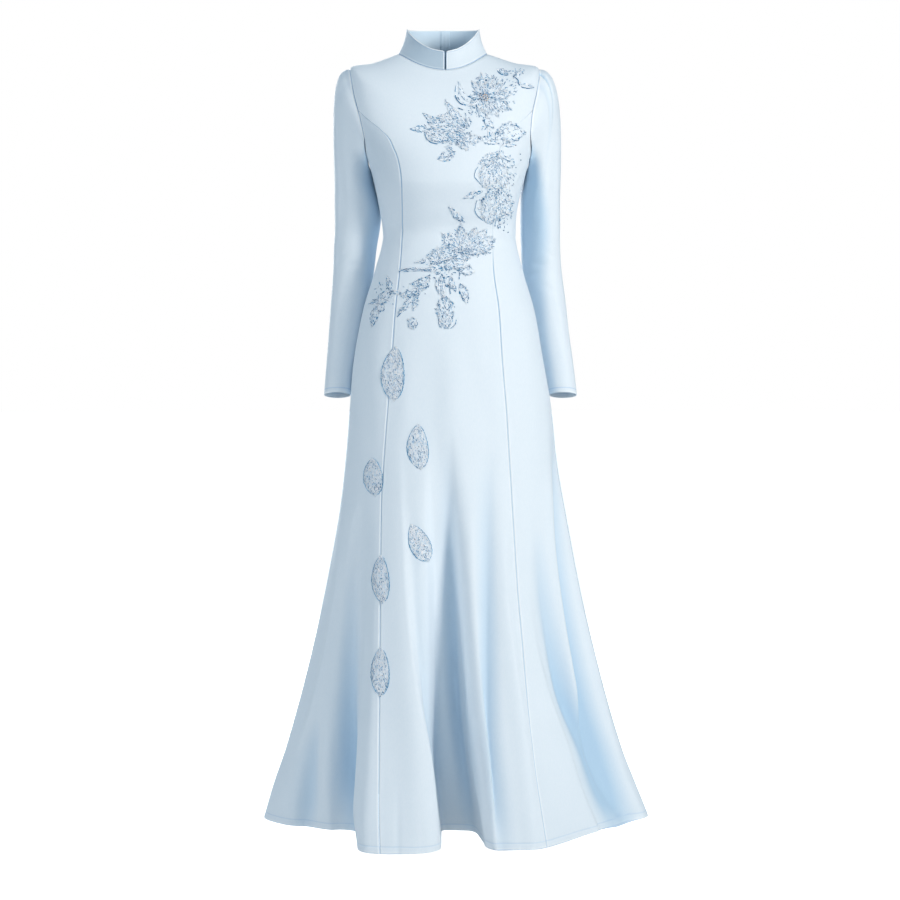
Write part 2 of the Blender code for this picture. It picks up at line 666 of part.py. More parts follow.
def lifted_clear(low, outward, faces):
    """Raise a plate's lower points until no part of its lower side comes near the cloth."""
    shares = [(a / 4, b / 4, 1 - (a + b) / 4) for a in range(5) for b in range(5 - a)]
    for _ in range(CLEAR_PASSES):
        raised = np.zeros(len(low))
        for face in faces:
            corners = low[list(face)]
            for share in shares:
                point = Vector(np.array(share) @ corners * MM)
                hit, normal, _, _ = TREE.find_nearest(point)
                short = PLATE_CLEAR - (point - hit).dot(normal) / MM
                raised[list(face)] = np.maximum(raised[list(face)], short)
        if raised.max() < 0.01:
            break
        low = low + raised[:, None] * outward
    return low


def plate(name, flat, faces_top, rim, heights):
    """A closed plate over the cloth. flat has the elevation points, and rim its outer ones in order."""
    faces_top = [(face[0], face[i], face[i + 1]) for face in faces_top for i in range(1, len(face) - 1)]
    frames = [front_frame(x, z) for x, z in flat]
    outward = np.array([frame[1] for frame in frames])
    low = np.array([frame[0] for frame in frames]) + PLATE_LIFT * outward
    low = lifted_clear(low, outward, faces_top)
    high = low + np.array(heights)[:, None] * outward
    count = len(flat)
    points = np.concatenate([low, high]) * MM
    faces = [tuple(corner + count for corner in face) for face in faces_top]
    faces += [tuple(reversed(face)) for face in faces_top]
    for i, corner in enumerate(rim):
        after = rim[(i + 1) % len(rim)]
        faces.append((corner, after, after + count, corner + count))
    return plain_object(name, points, faces, LACE)


def bloom(name, x, z, half_length, half_width, turn, petals, petal_depth):
    """A rounded motif with petals round its edge."""
    count = petals * 3
    angles = np.arange(count) * 2 * np.pi / count
    edge = 1 - petal_depth * (1 - abs(np.cos(petals * angles / 2)))
    flat, heights = [(x, z)], [PLATE_MIDDLE]
    lean = np.radians(turn)
    for share in (0.38, 0.72, 1.0):
        across = half_length * np.cos(angles) * share * (edge if share > 0.5 else 1)
        upward = half_width * np.sin(angles) * share * (edge if share > 0.5 else 1)
        for a, u in zip(across, upward):
            flat.append((x + a * np.cos(lean) - u * np.sin(lean), z + a * np.sin(lean) + u * np.cos(lean)))
            heights.append(PLATE_EDGE if share == 1.0 else PLATE_MIDDLE)
    faces = [(0, 1 + i, 1 + (i + 1) % count) for i in range(count)]
    for ring in (0, 1):
        start, after = 1 + ring * count, 1 + (ring + 1) * count
        for i in range(count):
            j = (i + 1) % count
            faces.append((start + i, after + i, after + j, start + j))
    rim = [1 + 2 * count + i for i in range(count)]
    return plate(name, flat, faces, rim, heights)


def leaf(name, from_x, from_z, to_x, to_z, widest, bow):
    """A leaf or a bent sprig: pointed at its start and rounded at its end."""
    start, end = np.array([from_x, from_z]), np.array([to_x, to_z])
    along = end - start
    square = np.array([-along[1], along[0]]) / np.linalg.norm(along)
    flat, heights = [], []
    steps = (0.0, 0.12, 0.3, 0.5, 0.7, 0.88, 1.0)
    for t in steps:
        middle = start + along * t + square * bow * 4 * t * (1 - t)
        half = widest / 2 * max(np.sin(np.pi * t**0.9) ** 0.65 if 0 < t < 1 else 0, 0.14)
        for share in (-1.0, 0.0, 1.0):
            flat.append(tuple(middle + square * half * share))
            heights.append(PLATE_EDGE if abs(share) == 1 or t in (0, 1) else PLATE_MIDDLE)
    faces = []
    for row in range(len(steps) - 1):
        for column in range(2):
            a = row * 3 + column
            faces.append((a, a + 3, a + 4, a + 1))
    last = (len(steps) - 1) * 3
    rim = [row * 3 for row in range(len(steps))] + [last + 1]
    rim += [row * 3 + 2 for row in reversed(range(len(steps)))] + [1]
    return plate(name, flat, faces, rim, heights)


for applique, row in BLOOMS.items():
    bloom(applique, *row)
for applique, row in LEAVES.items():
    leaf(applique, *row)
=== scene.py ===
import bpy
import numpy as np
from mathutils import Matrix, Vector
from mathutils.bvhtree import BVHTree


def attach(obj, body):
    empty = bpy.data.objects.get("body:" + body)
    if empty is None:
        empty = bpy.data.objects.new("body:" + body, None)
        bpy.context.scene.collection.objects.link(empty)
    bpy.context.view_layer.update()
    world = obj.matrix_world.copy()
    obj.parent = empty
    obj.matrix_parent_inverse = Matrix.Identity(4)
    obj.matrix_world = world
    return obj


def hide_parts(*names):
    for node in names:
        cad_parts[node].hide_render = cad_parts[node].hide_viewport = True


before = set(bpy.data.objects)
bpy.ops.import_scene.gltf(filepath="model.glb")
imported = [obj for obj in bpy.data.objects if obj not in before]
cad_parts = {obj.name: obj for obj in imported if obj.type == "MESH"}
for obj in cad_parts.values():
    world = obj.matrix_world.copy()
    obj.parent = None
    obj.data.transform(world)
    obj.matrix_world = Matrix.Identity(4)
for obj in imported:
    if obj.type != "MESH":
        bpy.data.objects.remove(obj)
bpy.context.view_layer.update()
MM = 0.001


# The worn form. Every panel, sleeve and applique takes its place from this one smooth surface.
# Angles run from the wearer's left over the front, and v counts the sections down from the neck.
SECTION_COLUMNS = ("side_z", "front_z", "back_z", "right", "left", "front", "back", "round")
SECTIONS = {
    "neck": (0, -36, 13, 87, 77, 66, 62, 2.0),
    "yoke": (-16, -73, -24, 131, 126, 88, 86, 2.1),
    "shoulder_tip": (-27, -112, -70, 175, 171, 104, 102, 2.3),
    "armhole_top": (-70, -142, -106, 175, 174, 113, 110, 2.5),
    "armhole_mid": (-115, -166, -141, 170, 173, 121, 114, 2.5),
    "armhole_low": (-160, -187, -172, 156, 165, 127, 114, 2.45),
    "armpit": (-195, -207, -198, 142, 154, 130, 112, 2.4),
    "bust": (-235, -238, -235, 131, 143, 131, 106, 2.35),
    "under_bust": (-285, -285, -285, 121, 131.5, 113, 96, 2.2),
    "waist": (-332, -332, -332, 115, 129, 95, 88, 2.1),
    "high_hip": (-400, -400, -400, 131, 143.5, 102, 104, 2.15),
    "hip": (-470, -470, -470, 152, 164, 111, 121, 2.15),
    "seat": (-560, -560, -560, 169, 180, 118, 129, 2.15),
    "thigh": (-640, -640, -640, 176, 194, 124, 132, 2.1),
    "above_knee": (-740, -740, -740, 184, 206, 134, 139, 2.05),
    "knee": (-840, -840, -840, 196, 222, 146, 152, 2.0),
    "calf": (-950, -950, -950, 216, 242, 161, 171, 2.0),
    "mid_calf": (-1060, -1060, -1060, 239, 266, 176, 190, 2.0),
    "low_calf": (-1170, -1170, -1170, 266, 294, 191, 207, 2.0),
    "ankle": (-1280, -1280, -1280, 297, 328, 205, 222, 2.0),
    "above_hem": (-1350, -1350, -1350, 321, 355, 213, 230, 2.0),
    "hem": (-1418, -1418, -1418, 341, 382, 218, 236, 2.0),
}
HEM = len(SECTIONS) - 1
HEM_Z = -1418.0
SHOULDER_TIP, ARMPIT = 2, 6

FOLD_COLUMNS = ("hangs_from", "hem_x", "hem_y", "start_z")
FOLDS = {
    "left_edge": (0, 382, 40, -640),
    "left_edge_trough": (13, 352, -12, -600),
    "left_rib": (26, 322, -60, -600),
    "left_trough": (40, 272, -100, -700),
    "left_flute_flank": (52, 214, -186, -760),
    "left_flute_outer": (61, 168, -238, -760),
    "left_flute_dip": (69, 132, -246, -740),
    "left_flute_inner": (78, 92, -252, -740),
    "left_flute_side": (84, 68, -190, -700),
    "centre_trough_left": (88, 52, -116, -680),
    "centre_trough": (93, 14, -90, -680),
    "centre_trough_right": (98, -12, -104, -700),
    "right_flute_side": (103, -10, -206, -740),
    "right_flute_inner": (109, -28, -262, -780),
    "right_flute_crest": (119, -78, -277, -800),
    "right_flute_outer": (129, -136, -268, -800),
    "right_flute_flank": (135, -160, -210, -800),
    "right_trough": (141, -170, -112, -800),
    "right_rib": (153, -236, -72, -860),
    "right_edge_trough": (166, -296, -44, -860),
    "right_edge": (180, -341, 24, -700),
    "right_back_trough": (193, -318, 88, -700),
    "right_back_flute": (207, -292, 192, -720),
    "right_back_valley": (220, -212, 172, -740),
    "right_inner_flute": (234, -176, 284, -740),
    "right_centre_valley": (248, -88, 196, -700),
    "back_right_crest": (262, -38, 296, -700),
    "back_left_crest": (276, 34, 300, -700),
    "left_centre_valley": (291, 92, 192, -700),
    "left_inner_flute": (306, 182, 288, -740),
    "left_back_valley": (320, 226, 168, -720),
    "left_back_flute": (334, 318, 190, -700),
    "left_back_trough": (347, 352, 108, -660),
}
FOLD_GROWTH = 1.25


def through(knots, values, at):
    """A smooth curve through a table's values that doesn't overshoot between two rows."""
    knots, values = np.asarray(knots, float), np.asarray(values, float)
    steps = np.diff(knots)
    rises = np.diff(values) / steps
    before, after = rises[:-1], rises[1:]
    mixed = (before * steps[1:] + after * steps[:-1]) / (steps[:-1] + steps[1:])
    most = 3 * np.minimum(abs(before), abs(after))
    slopes = np.concatenate([rises[:1], np.zeros(len(mixed)), rises[-1:]])
    slopes[1:-1] = np.where(before * after > 0, np.sign(mixed) * np.minimum(abs(mixed), most), 0)
    at = np.clip(at, knots[0], knots[-1])
    row = np.clip(np.searchsorted(knots, at, side="right") - 1, 0, len(steps) - 1)
    t = (at - knots[row]) / steps[row]
    level = (1 + 2 * t) * (1 - t) ** 2 * values[row] + t * t * (3 - 2 * t) * values[row + 1]
    lean = t * (1 - t) ** 2 * slopes[row] + t * t * (t - 1) * slopes[row + 1]
    return level + steps[row] * lean


def section_value(column, v):
    place = SECTION_COLUMNS.index(column)
    return through(range(HEM + 1), [row[place] for row in SECTIONS.values()], v)


def fold_value(column, angle):
    place = FOLD_COLUMNS.index(column)
    rows = list(FOLDS.values())
    turns = [(row, -360) for row in rows[-2:]] + [(row, 0) for row in rows] + [(row, 360) for row in rows[:2]]
    knots = [row[0] + turn for row, turn in turns]
    return through(knots, [row[place] for row, _ in turns], np.mod(angle, 360))


def oval(angle, v):
    across, towards = np.cos(np.radians(angle)), np.sin(np.radians(angle))
    power = section_value("round", v)
    reach = (abs(across) ** power + abs(towards) ** power) ** (-1 / power)
    width = np.where(across > 0, section_value("left", v), section_value("right", v))
    depth = np.where(towards > 0, section_value("front", v), section_value("back", v))
    return width * reach * across, -depth * reach * towards


def body_point(angle, v):
    """A point of the cloth's outer side, in millimetres."""
    angle, v = np.broadcast_arrays(np.asarray(angle, float), np.asarray(v, float))
    x, y = oval(angle, v)
    forward = np.sin(np.radians(angle)) > 0
    middle_z = np.where(forward, section_value("front_z", v), section_value("back_z", v))
    z = middle_z + (section_value("side_z", v) - middle_z) * np.cos(np.radians(angle)) ** 2
    start = fold_value("start_z", angle)
    grown = np.clip((start - z) / (start - HEM_Z), 0, 1) ** FOLD_GROWTH
    plain_x, plain_y = oval(angle, np.full_like(v, HEM))
    x = x + grown * (fold_value("hem_x", angle) - plain_x)
    y = y + grown * (fold_value("hem_y", angle) - plain_y)
    return np.stack([x, y, z], axis=-1)


def unit(vectors):
    return vectors / np.maximum(np.linalg.norm(vectors, axis=-1, keepdims=True), 1e-9)


def body_slopes(angle, v):
    turn, drop = 0.05, 0.004
    round_it = (body_point(angle + turn, v) - body_point(angle - turn, v)) / (2 * turn)
    upper, lower = np.maximum(v - drop, 0), np.minimum(v + drop, HEM)
    return round_it, (body_point(angle, lower) - body_point(angle, upper)) / (lower - upper)[..., None]


def body_normal(angle, v):
    angle, v = np.broadcast_arrays(np.asarray(angle, float), np.asarray(v, float))
    round_it, down_it = body_slopes(angle, v)
    return unit(np.cross(round_it, down_it))


# Small soft creases of worn crepe, on top of the form: at the waist, across the hips, under the
# bust and down the skirt. Each row has its angle, height, half length, half width, depth and lean.
CREASES = (
    (140, -322, 34, 7, -1.1, 78), (133, -345, 26, 6, 0.8, 70), (41, -318, 38, 7, -1.2, -76),
    (47, -348, 24, 6, -0.8, -70), (160, -338, 30, 7, -1.3, 84), (20, -340, 30, 7, -1.3, -84),
    (150, -205, 30, 8, -1.2, 38), (30, -208, 32, 8, -1.3, -36), (158, -232, 26, 7, -0.9, 52),
    (24, -238, 24, 7, -0.9, -50), (100, -470, 60, 22, 0.9, 8), (62, -520, 80, 18, -1.4, -10),
    (124, -560, 85, 20, -1.2, 9), (84, -640, 110, 22, 1.6, 3), (96, -655, 95, 18, -2.0, -3),
    (68, -720, 130, 20, -1.8, -5), (112, -700, 120, 20, 1.4, 5), (40, -600, 90, 20, 1.0, -8),
    (143, -640, 100, 20, -1.5, 8), (215, -325, 36, 8, -1.3, -72), (232, -350, 30, 7, 0.9, -64),
    (325, -322, 34, 8, -1.4, 74), (309, -352, 30, 7, -0.9, 66), (252, -372, 22, 7, -0.9, -40),
    (288, -376, 24, 7, -1.0, 42), (240, -560, 90, 20, -1.4, -6), (300, -590, 95, 20, -1.3, 7),
    (270, -650, 120, 22, 1.5, 0), (222, -640, 100, 18, 1.0, -8), (318, -660, 100, 18, 1.1, 8),
    (205, -210, 30, 9, -1.4, -40), (335, -214, 30, 9, -1.3, 42),
)

# The long soft folds of the skirt's front, each from its top down. Each row has its x and z, how
# far it comes out or goes in, and how far it spreads to the wearer's right and left.
LONG_FOLDS = {
    "left_flute_edge": (
        (-141, -973, 0, 6, 23), (-148, -1151, 4, 5, 23), (-150, -1270, 8, 5, 23), (-156, -1356, 8, 5, 22),
        (-160, -1414, 6, 5, 20)),
    "left_flute_valley": (
        (-168, -924, 0, 17, 11), (-172, -1069, -8, 19, 12), (-175, -1215, -17, 18, 10),
        (-174, -1325, -22, 18, 9), (-163, -1417, -17, 18, 8)),
    "left_flute_crest": (
        (-87, -686, 0, 30, 12), (-78, -846, 4.5, 32, 9), (-66, -1021, 9, 38, 8), (-50, -1159, 12, 42, 9),
        (-36, -1245, 12.5, 42, 10), (-14, -1416, 9, 38, 9)),
    "left_flute_dip": (
        (-60, -811, 0, 9, 16), (-47, -1021, -4, 9, 17), (-34, -1160, -7, 9, 17), (-22, -1248, -9, 7, 14),
        (-10, -1416, -4, 5, 11)),
    "centre_valley": (
        (1, -703, 0, 15, 11), (5, -847, -5, 14, 10), (9, -991, -10, 12, 10), (15, -1156, -13, 10, 9),
        (28, -1304, -12, 9, 10), (45, -1418, -5, 13, 13)),
    "right_flute_crest": (
        (32, -810, 0, 9, 22), (37, -988, 4, 9, 22), (44, -1148, 7, 6, 19), (54, -1271, 9, 7, 18),
        (76, -1409, 6, 6, 16)),
    "right_flute_dip": (
        (78, -721, 0, 18, 14), (76, -881, -8, 18, 13), (76, -1056, -13, 18, 15), (75, -1194, -15, 15, 17),
        (86, -1332, -13, 16, 20), (96, -1403, -6, 15, 19)),
    "right_flute_ridge": (
        (105, -758, 0, 15, 10), (106, -917, 4, 14, 9), (117, -1057, 6, 16, 7), (134, -1179, 7, 19, 8),
        (149, -1300, 5, 18, 9), (154, -1401, 2, 17, 10)),
    "right_flute_edge": (
        (148, -973, 0, 21, 5), (161, -1079, 6, 25, 6), (181, -1161, 10, 27, 5), (215, -1263, 13, 27, 5),
        (238, -1338, 13, 26, 6), (271, -1411, 9, 26, 6)),
    "side_valley": (
        (168, -860, 0, 12, 16), (180, -980, -9, 13, 16), (195, -1065, -14, 13, 17), (222, -1175, -21, 14, 22),
        (262, -1266, -25, 18, 28), (291, -1344, -24, 22, 32), (315, -1408, -12, 24, 30)),
    "side_ridge": (
        (192, -706, 0, 17, 6), (200, -853, 5, 17, 5), (220, -1008, 8, 14, 5), (243, -1145, 9, 11, 4),
        (262, -1225, 3, 11, 6), (280, -1290, 0, 12, 8)),
    "edge_valley": (
        (198, -690, 0, 5, 11), (202, -790, -8, 6, 11), (208, -899, -14, 7, 12), (225, -1019, -21, 8, 14),
        (250, -1146, -24, 9, 17), (274, -1230, -25, 12, 20), (304, -1316, -20, 14, 22),
        (342, -1409, -8, 14, 20)),
    "edge_ridge": (
        (209, -765, 0, 11, 9), (229, -894, 4, 9, 8), (248, -1006, 7, 13, 9), (278, -1136, 9, 14, 11),
        (304, -1248, 10, 18, 12), (335, -1346, 10, 21, 12), (368, -1410, 6, 18, 9)),
    "left_side_ridge": (
        (-200, -999, 0, 23, 16), (-209, -1163, 4, 22, 14), (-213, -1309, 9, 19, 15),
        (-209, -1418, 7, 16, 13)),
    "left_side_dip": (
        (-227, -1165, 0, 17, 17), (-244, -1267, -8, 17, 17), (-256, -1368, -11, 18, 20),
        (-262, -1416, -7, 16, 18)),
    "left_side_line": (
        (-193, -899, 0, 5, 17), (-206, -1019, 3.5, 5, 18), (-223, -1111, 4.5, 5, 19),
        (-250, -1214, 4.5, 5, 19), (-277, -1294, 0, 6, 21)),
    "hem_streak_left": ((-83, -1294, 0, 5, 4), (-82, -1398, -1.8, 5, 4)),
    "hem_streak_middle": ((-48, -1311, 0, 7, 7), (-41, -1400, -1.6, 7, 7)),
}
FRONT_START, FRONT_FADE, FULL_SHADE_DEPTH = -0.05, 0.2, 20.0


def bell(off, wide):
    """A smooth bump of height 1, which fades over that width."""
    return np.exp(-((off / wide) ** 2))


def body_point_at(angle, z):
    """The cloth's point at an angle and a height."""
    v = np.linspace(0, HEM, 600)
    heights = body_point(np.full_like(v, angle), v)[:, 2]
    return body_point(np.array([float(angle)]), np.interp([-z], -heights, v))[0]


def creased(angle, points, normals):
    """The cloth moved by its creases and long folds, and the painted shade that the depth of its fold gives,
    0 to 1.
    """
    down = -points[..., 2]
    front = np.clip((np.sin(np.radians(angle)) - FRONT_START) / FRONT_FADE, 0, 1)
    moved = np.zeros(down.shape)
    for rows in LONG_FOLDS.values():
        x, z, depth, right_wide, left_wide = np.transpose(rows)
        off = points[..., 0] - through(-z, x, down)
        wide = np.where(off < 0, through(-z, right_wide, down), through(-z, left_wide, down))
        moved += np.where(down > -z[0], through(-z, depth, down) * bell(off, wide), 0) * front
    # The deeper a long fold takes the cloth in, the more painted shade it gets, full at FULL_SHADE_DEPTH.
    painted_deep_shade = np.clip(-moved / FULL_SHADE_DEPTH, 0, 1)
    for at, z, half_long, half_wide, depth, lean in CREASES:
        place = points - body_point_at(at, z)
        along = place @ np.array([-np.sin(np.radians(at)), -np.cos(np.radians(at)), 0])
        up, turn = place[..., 2], np.radians(lean)
        long_way = up * np.cos(turn) + along * np.sin(turn)
        wide_way = along * np.cos(turn) - up * np.sin(turn)
        near = np.linalg.norm(place, axis=-1) < 3 * half_long + 40
        moved += np.where(near, depth * bell(long_way, half_long) * bell(wide_way, half_wide), 0)
    return points + moved[..., None] * normals, painted_deep_shade


# Seams. The armholes and the princess seams are angles that change down the body. A princess
# seam's row says how far out it lies, as a share of half the width, and it starts at the armhole.
FRONT_ARMHOLE_ANGLE, BACK_ARMHOLE_ANGLE, ARMHOLE_ROUND, PRINCESS_START = 32.0, 29.0, 0.62, 3.5
PRINCESS_COLUMNS = ("v", "front_right", "front_left", "back")
PRINCESS = (
    (PRINCESS_START, 0.885, 0.885, 0.885), (3.9, 0.735, 0.735, 0.74), (4.4, 0.625, 0.625, 0.66),
    (5.0, 0.603, 0.603, 0.61), (6.0, 0.594, 0.594, 0.56), (7.0, 0.603, 0.603, 0.50), (8.0, 0.645, 0.64, 0.47),
    (9.0, 0.681, 0.665, 0.46), (10, 0.633, 0.61, 0.47), (11, 0.596, 0.593, 0.49), (12, 0.577, 0.571, 0.50),
    (14, 0.600, 0.560, 0.50), (16, 0.598, 0.547, 0.50), (18, 0.594, 0.530, 0.50), (21, 0.573, 0.520, 0.50),
)


def armhole_angle(v, widest):
    down = np.clip((v - SHOULDER_TIP) / (ARMPIT - SHOULDER_TIP), 0, 1)
    return widest * np.sin(np.pi * down) ** ARMHOLE_ROUND


def princess_angle(v, column):
    place = PRINCESS_COLUMNS.index(column)
    share = through([row[0] for row in PRINCESS], [row[place] for row in PRINCESS], v)
    power = section_value("round", v)
    return np.degrees(np.arctan2((1 - share**power) ** (1 / power), share))


def upper_edge(v, column, widest):
    """The princess seam's angle, and above its start the armhole's."""
    start = armhole_angle(PRINCESS_START, widest) - princess_angle(PRINCESS_START, column)
    fade = np.clip(1 - 2 * (v - PRINCESS_START), 0, 1) ** 2
    return np.where(v < PRINCESS_START, armhole_angle(v, widest), princess_angle(v, column) + start * fade)


# Crepe, the cloth of the whole dress: a soft matt sheen, a fine pebbled grain and faint slubs. Its
# masks paint shade into the seams' grooves, the deep folds and the shaded sides, paint a highlight
# along edges, and give the collar's inside and the zip tape a painted bluer shade tone.
# Tints of the painted shade: in seam grooves, in deep folds and on shaded sides.
GROOVE_SHADE_TINT, DEEP_SHADE_TINT, SHADE_TINT = (0.30, 0.54, 0.80), (0.60, 0.755, 0.88), (0.54, 0.63, 0.70)
# The painted bluer shade tone of the collar's inside and the zip tape, and the painted highlight along edges.
INSIDE_SHADE_BLUE, PAINTED_EDGE_HIGHLIGHT = (0.68, 0.85, 1.0), (0.95, 0.98, 1.0)
CREPE_DARK, CREPE_LIGHT = (0.735, 0.824, 0.903), (0.762, 0.842, 0.915)
GRAIN_SIZE, SLUB_SIZE, SLUB_STRETCH = 1500.0, 420.0, (1.0, 1.0, 0.35)
CREPE_LAYERS = (
    ("facing", INSIDE_SHADE_BLUE, "MIX"), ("edge", PAINTED_EDGE_HIGHLIGHT, "MIX"), ("painted_deep_shade", DEEP_SHADE_TINT, "MULTIPLY"),
    ("shade", SHADE_TINT, "MULTIPLY"), ("painted_groove_shade", GROOVE_SHADE_TINT, "MULTIPLY"))


def node(tree, kind, place, inputs=None, **settings):
    made = tree.nodes.new(kind)
    made.location = place
    for name, value in settings.items():
        setattr(made, name, value)
    for name, value in (inputs or {}).items():
        made.inputs[name].default_value = value
    return made


def wire(source, output, target, entry):
    source.id_data.links.new(source.outputs[output], target.inputs[entry])


def texture(tree, kind, place, inputs, stretch=None, **settings):
    """A texture in the object's own coordinates."""
    where, output = node(tree, "ShaderNodeTexCoord", (place[0] - 400, place[1])), "Object"
    made = node(tree, kind, place, inputs, **settings)
    if stretch:
        mapping = node(tree, "ShaderNodeMapping", (place[0] - 200, place[1]), {"Scale": stretch})
        wire(where, output, mapping, "Vector")
        where, output = mapping, "Vector"
    wire(where, output, made, "Vector")
    return made


def material(name, **inputs):
    """A new Principled material, with its tree and its shader."""
    made = bpy.data.materials.new(name)
    made.use_nodes = True
    shader = made.node_tree.nodes["Principled BSDF"]
    for label, value in inputs.items():
        shader.inputs[label.replace("_", " ")].default_value = value
    return made, made.node_tree, shader


def ramp(source, output, stops, interpolation="LINEAR"):
    """A colour ramp read from a node's output."""
    made = node(source.id_data, "ShaderNodeValToRGB", (-400, 200))
    made.color_ramp.interpolation = interpolation
    steps = made.color_ramp.elements
    steps.remove(steps[-1])
    steps[0].position, steps[0].color = stops[0][0], (*stops[0][1], 1)
    for place, colour in stops[1:]:
        steps.new(place).color = (*colour, 1)
    wire(source, output, made, "Fac")
    return made


def roughen(shader, source, output, strength, distance, invert=False):
    """A bump from a node's output."""
    inputs = {"Strength": strength, "Distance": distance}
    bump = node(source.id_data, "ShaderNodeBump", (-300, -200), inputs, invert=invert)
    wire(source, output, bump, "Height")
    wire(bump, "Normal", shader, "Normal")


def grain_group():
    """Fine crepe grain: a height, and a mask of slightly lighter and darker threads."""
    tree = bpy.data.node_groups.new("crepe_grain", "ShaderNodeTree")
    tree.interface.new_socket("Grain size", in_out="INPUT", socket_type="NodeSocketFloat")
    for label in ("Height", "Thread"):
        tree.interface.new_socket(label, in_out="OUTPUT", socket_type="NodeSocketFloat")
    source = node(tree, "NodeGroupInput", (-900, 0))
    sink = node(tree, "NodeGroupOutput", (500, 0))
    pebble = texture(tree, "ShaderNodeTexNoise", (-500, 100), {"Detail": 3.0, "Roughness": 0.6})
    slub = texture(
        tree, "ShaderNodeTexNoise", (-500, -300), {"Detail": 4.0, "Scale": SLUB_SIZE}, SLUB_STRETCH)
    add = node(tree, "ShaderNodeMath", (0, 0), operation="ADD")
    wire(source, "Grain size", pebble, "Scale")
    wire(pebble, "Fac", add, 0)
    wire(slub, "Fac", add, 1)
    wire(add, 0, sink, "Height")
    wire(slub, "Fac", sink, "Thread")
    return tree


def crepe_material():
    made, tree, shader = material(
        "crepe_blue", Roughness=0.62, Sheen_Weight=0.3, Sheen_Roughness=0.4,
        Sheen_Tint=(0.9, 0.96, 1.0, 1), Specular_IOR_Level=0.35)
    grain = node(tree, "ShaderNodeGroup", (-700, 0), {"Grain size": GRAIN_SIZE}, node_tree=grain_group())
    last, output = ramp(grain, "Thread", ((0.3, CREPE_DARK), (0.7, CREPE_LIGHT))), "Color"
    for place, (mask, tint, blend) in enumerate(CREPE_LAYERS):
        read = node(tree, "ShaderNodeAttribute", (-400, 500 + 200 * place), attribute_name=mask)
        where = (-150 + 200 * place, 400)
        layer = node(tree, "ShaderNodeMix", where, {"B": (*tint, 1)}, data_type="RGBA", blend_type=blend)
        wire(read, "Fac", layer, "Factor")
        wire(last, output, layer, "A")
        last, output = layer, "Result"
    wire(last, output, shader, "Base Color")
    roughen(shader, grain, "Height", 0.25, 0.0002)
    return made


CREPE = crepe_material()


# Body panels. Each is a thin wall whose edges roll in where they are sewn, with a hem turned up
# 12 mm: the front centre first, then the side fronts, the side backs and the two backs.
WALL, SEAM_HALF, LEAST_REACH = 1.3, 0.13, 0.35
ROLL_DEPTH, ROLL_WIDE, SEAM_RISE, SEAM_RISE_AT, GROOVE_SHADE_WIDE = 0.9, 1.3, 0.35, 3.2, 0.85
HEM_TURN, HEM_GROOVE, HEM_ROLL, HEM_THICKER = 12.0, 0.3, 0.6, 0.4
EDGE_COLUMNS = np.array([0, 0.4, 0.8, 1.3, 1.9, 2.7, 4.0])
HEM_ROWS = np.array([0.0, 0.8, 1.8, 3.2, 6.0, 9.5, 10.6, 11.4, 12.0, 12.6, 13.4, 14.5])
MM_PER_HEM_SECTION = 68.0
# Lace presses the seams flat between these heights and these x.
PRESSED_TOP, PRESSED_LOW, PRESSED_FROM, PRESSED_TO = -104, -400, 30, 151.5
# Where the chest's painted shade lies, and how far from each seam its painted highlight runs.
CHEST_Z, CHEST_TALL, LIT_AT, LIT_WIDE = -170, 85, 2.4, 0.9


def quads(index):
    """Four-sided faces between the rows of a grid of point numbers."""
    return np.stack([index[:-1, :-1], index[:-1, 1:], index[1:, 1:], index[1:, :-1]], axis=-1).reshape(-1, 4)


def wall_faces(rows, columns, closed):
    """Faces of a closed wall between two grids of rows by columns. The first grid is the outer one."""
    index = np.arange(rows * columns).reshape(rows, columns)
    if closed:
        index = np.concatenate([index, index[:, :1]], axis=1)
    shift = rows * columns
    faces = [quads(index), quads(index)[:, ::-1] + shift]
    rims = [index[0, ::-1], index[-1]] + ([] if closed else [index[:, 0], index[::-1, -1]])
    for rim in rims:
        faces.append(np.stack([rim[:-1], rim[1:], rim[1:] + shift, rim[:-1] + shift], axis=-1))
    return np.concatenate(faces).tolist()


def crepe_wall(name, outer, inner, closed, masks):
    """A crepe piece between two grids of points in mm. A mask is for both sides, or one grid for each."""
    points = np.concatenate([outer.reshape(-1, 3), inner.reshape(-1, 3)])
    mesh = bpy.data.meshes.new(name)
    mesh.from_pydata((points * MM).tolist(), [], wall_faces(*outer.shape[:2], closed))
    mesh.update()
    for label, values in masks.items():
        both = values if values.ndim == 3 else np.stack([values, values])
        flat = np.clip(both.reshape(-1), 0, 1)
        mesh.attributes.new(label, "FLOAT", "POINT").data.foreach_set("value", flat.astype(np.float32))
    mesh.materials.append(CREPE)
    mesh.shade_smooth()
    made = bpy.data.objects.new(name, mesh)
    bpy.context.scene.collection.objects.link(made)
    if name.startswith("cloth_"):
        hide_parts(name.replace("cloth_", ""))
    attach(made, "dress")
    return made


def lengths(points):
    """How far each point of a line lies from its start, along the last axis but one."""
    steps = np.linalg.norm(np.diff(points, axis=-2), axis=-1)
    return np.concatenate([np.zeros(steps.shape[:-1] + (1,)), np.cumsum(steps, axis=-1)], axis=-1)


def dense_rows(first, last, spacing):
    """Section counts from first to last, about that many millimetres apart down the cloth."""
    fine = np.linspace(first, last, 4000)
    run = lengths(body_point(np.full_like(fine, 75.0), fine))
    return np.interp(np.linspace(0, run[-1], int(run[-1] / spacing) + 2), run, fine)


def even_angles(first, last, rows, columns):
    """Angles from seam to seam, row by row: a few close to each edge and the rest evenly apart."""
    fine = first[:, None] + (last - first)[:, None] * np.linspace(0, 1, 241)
    angles = []
    for run, row in zip(lengths(body_point(fine, rows[:, None])), fine):
        edge = EDGE_COLUMNS * min(1, run[-1] / 30)
        inner = np.linspace(edge[-1], run[-1] - edge[-1], columns + 3 - 2 * len(edge))
        angles.append(np.interp(np.concatenate([edge[:-1], inner, run[-1] - edge[-2::-1]]), run, row))
    return np.array(angles)


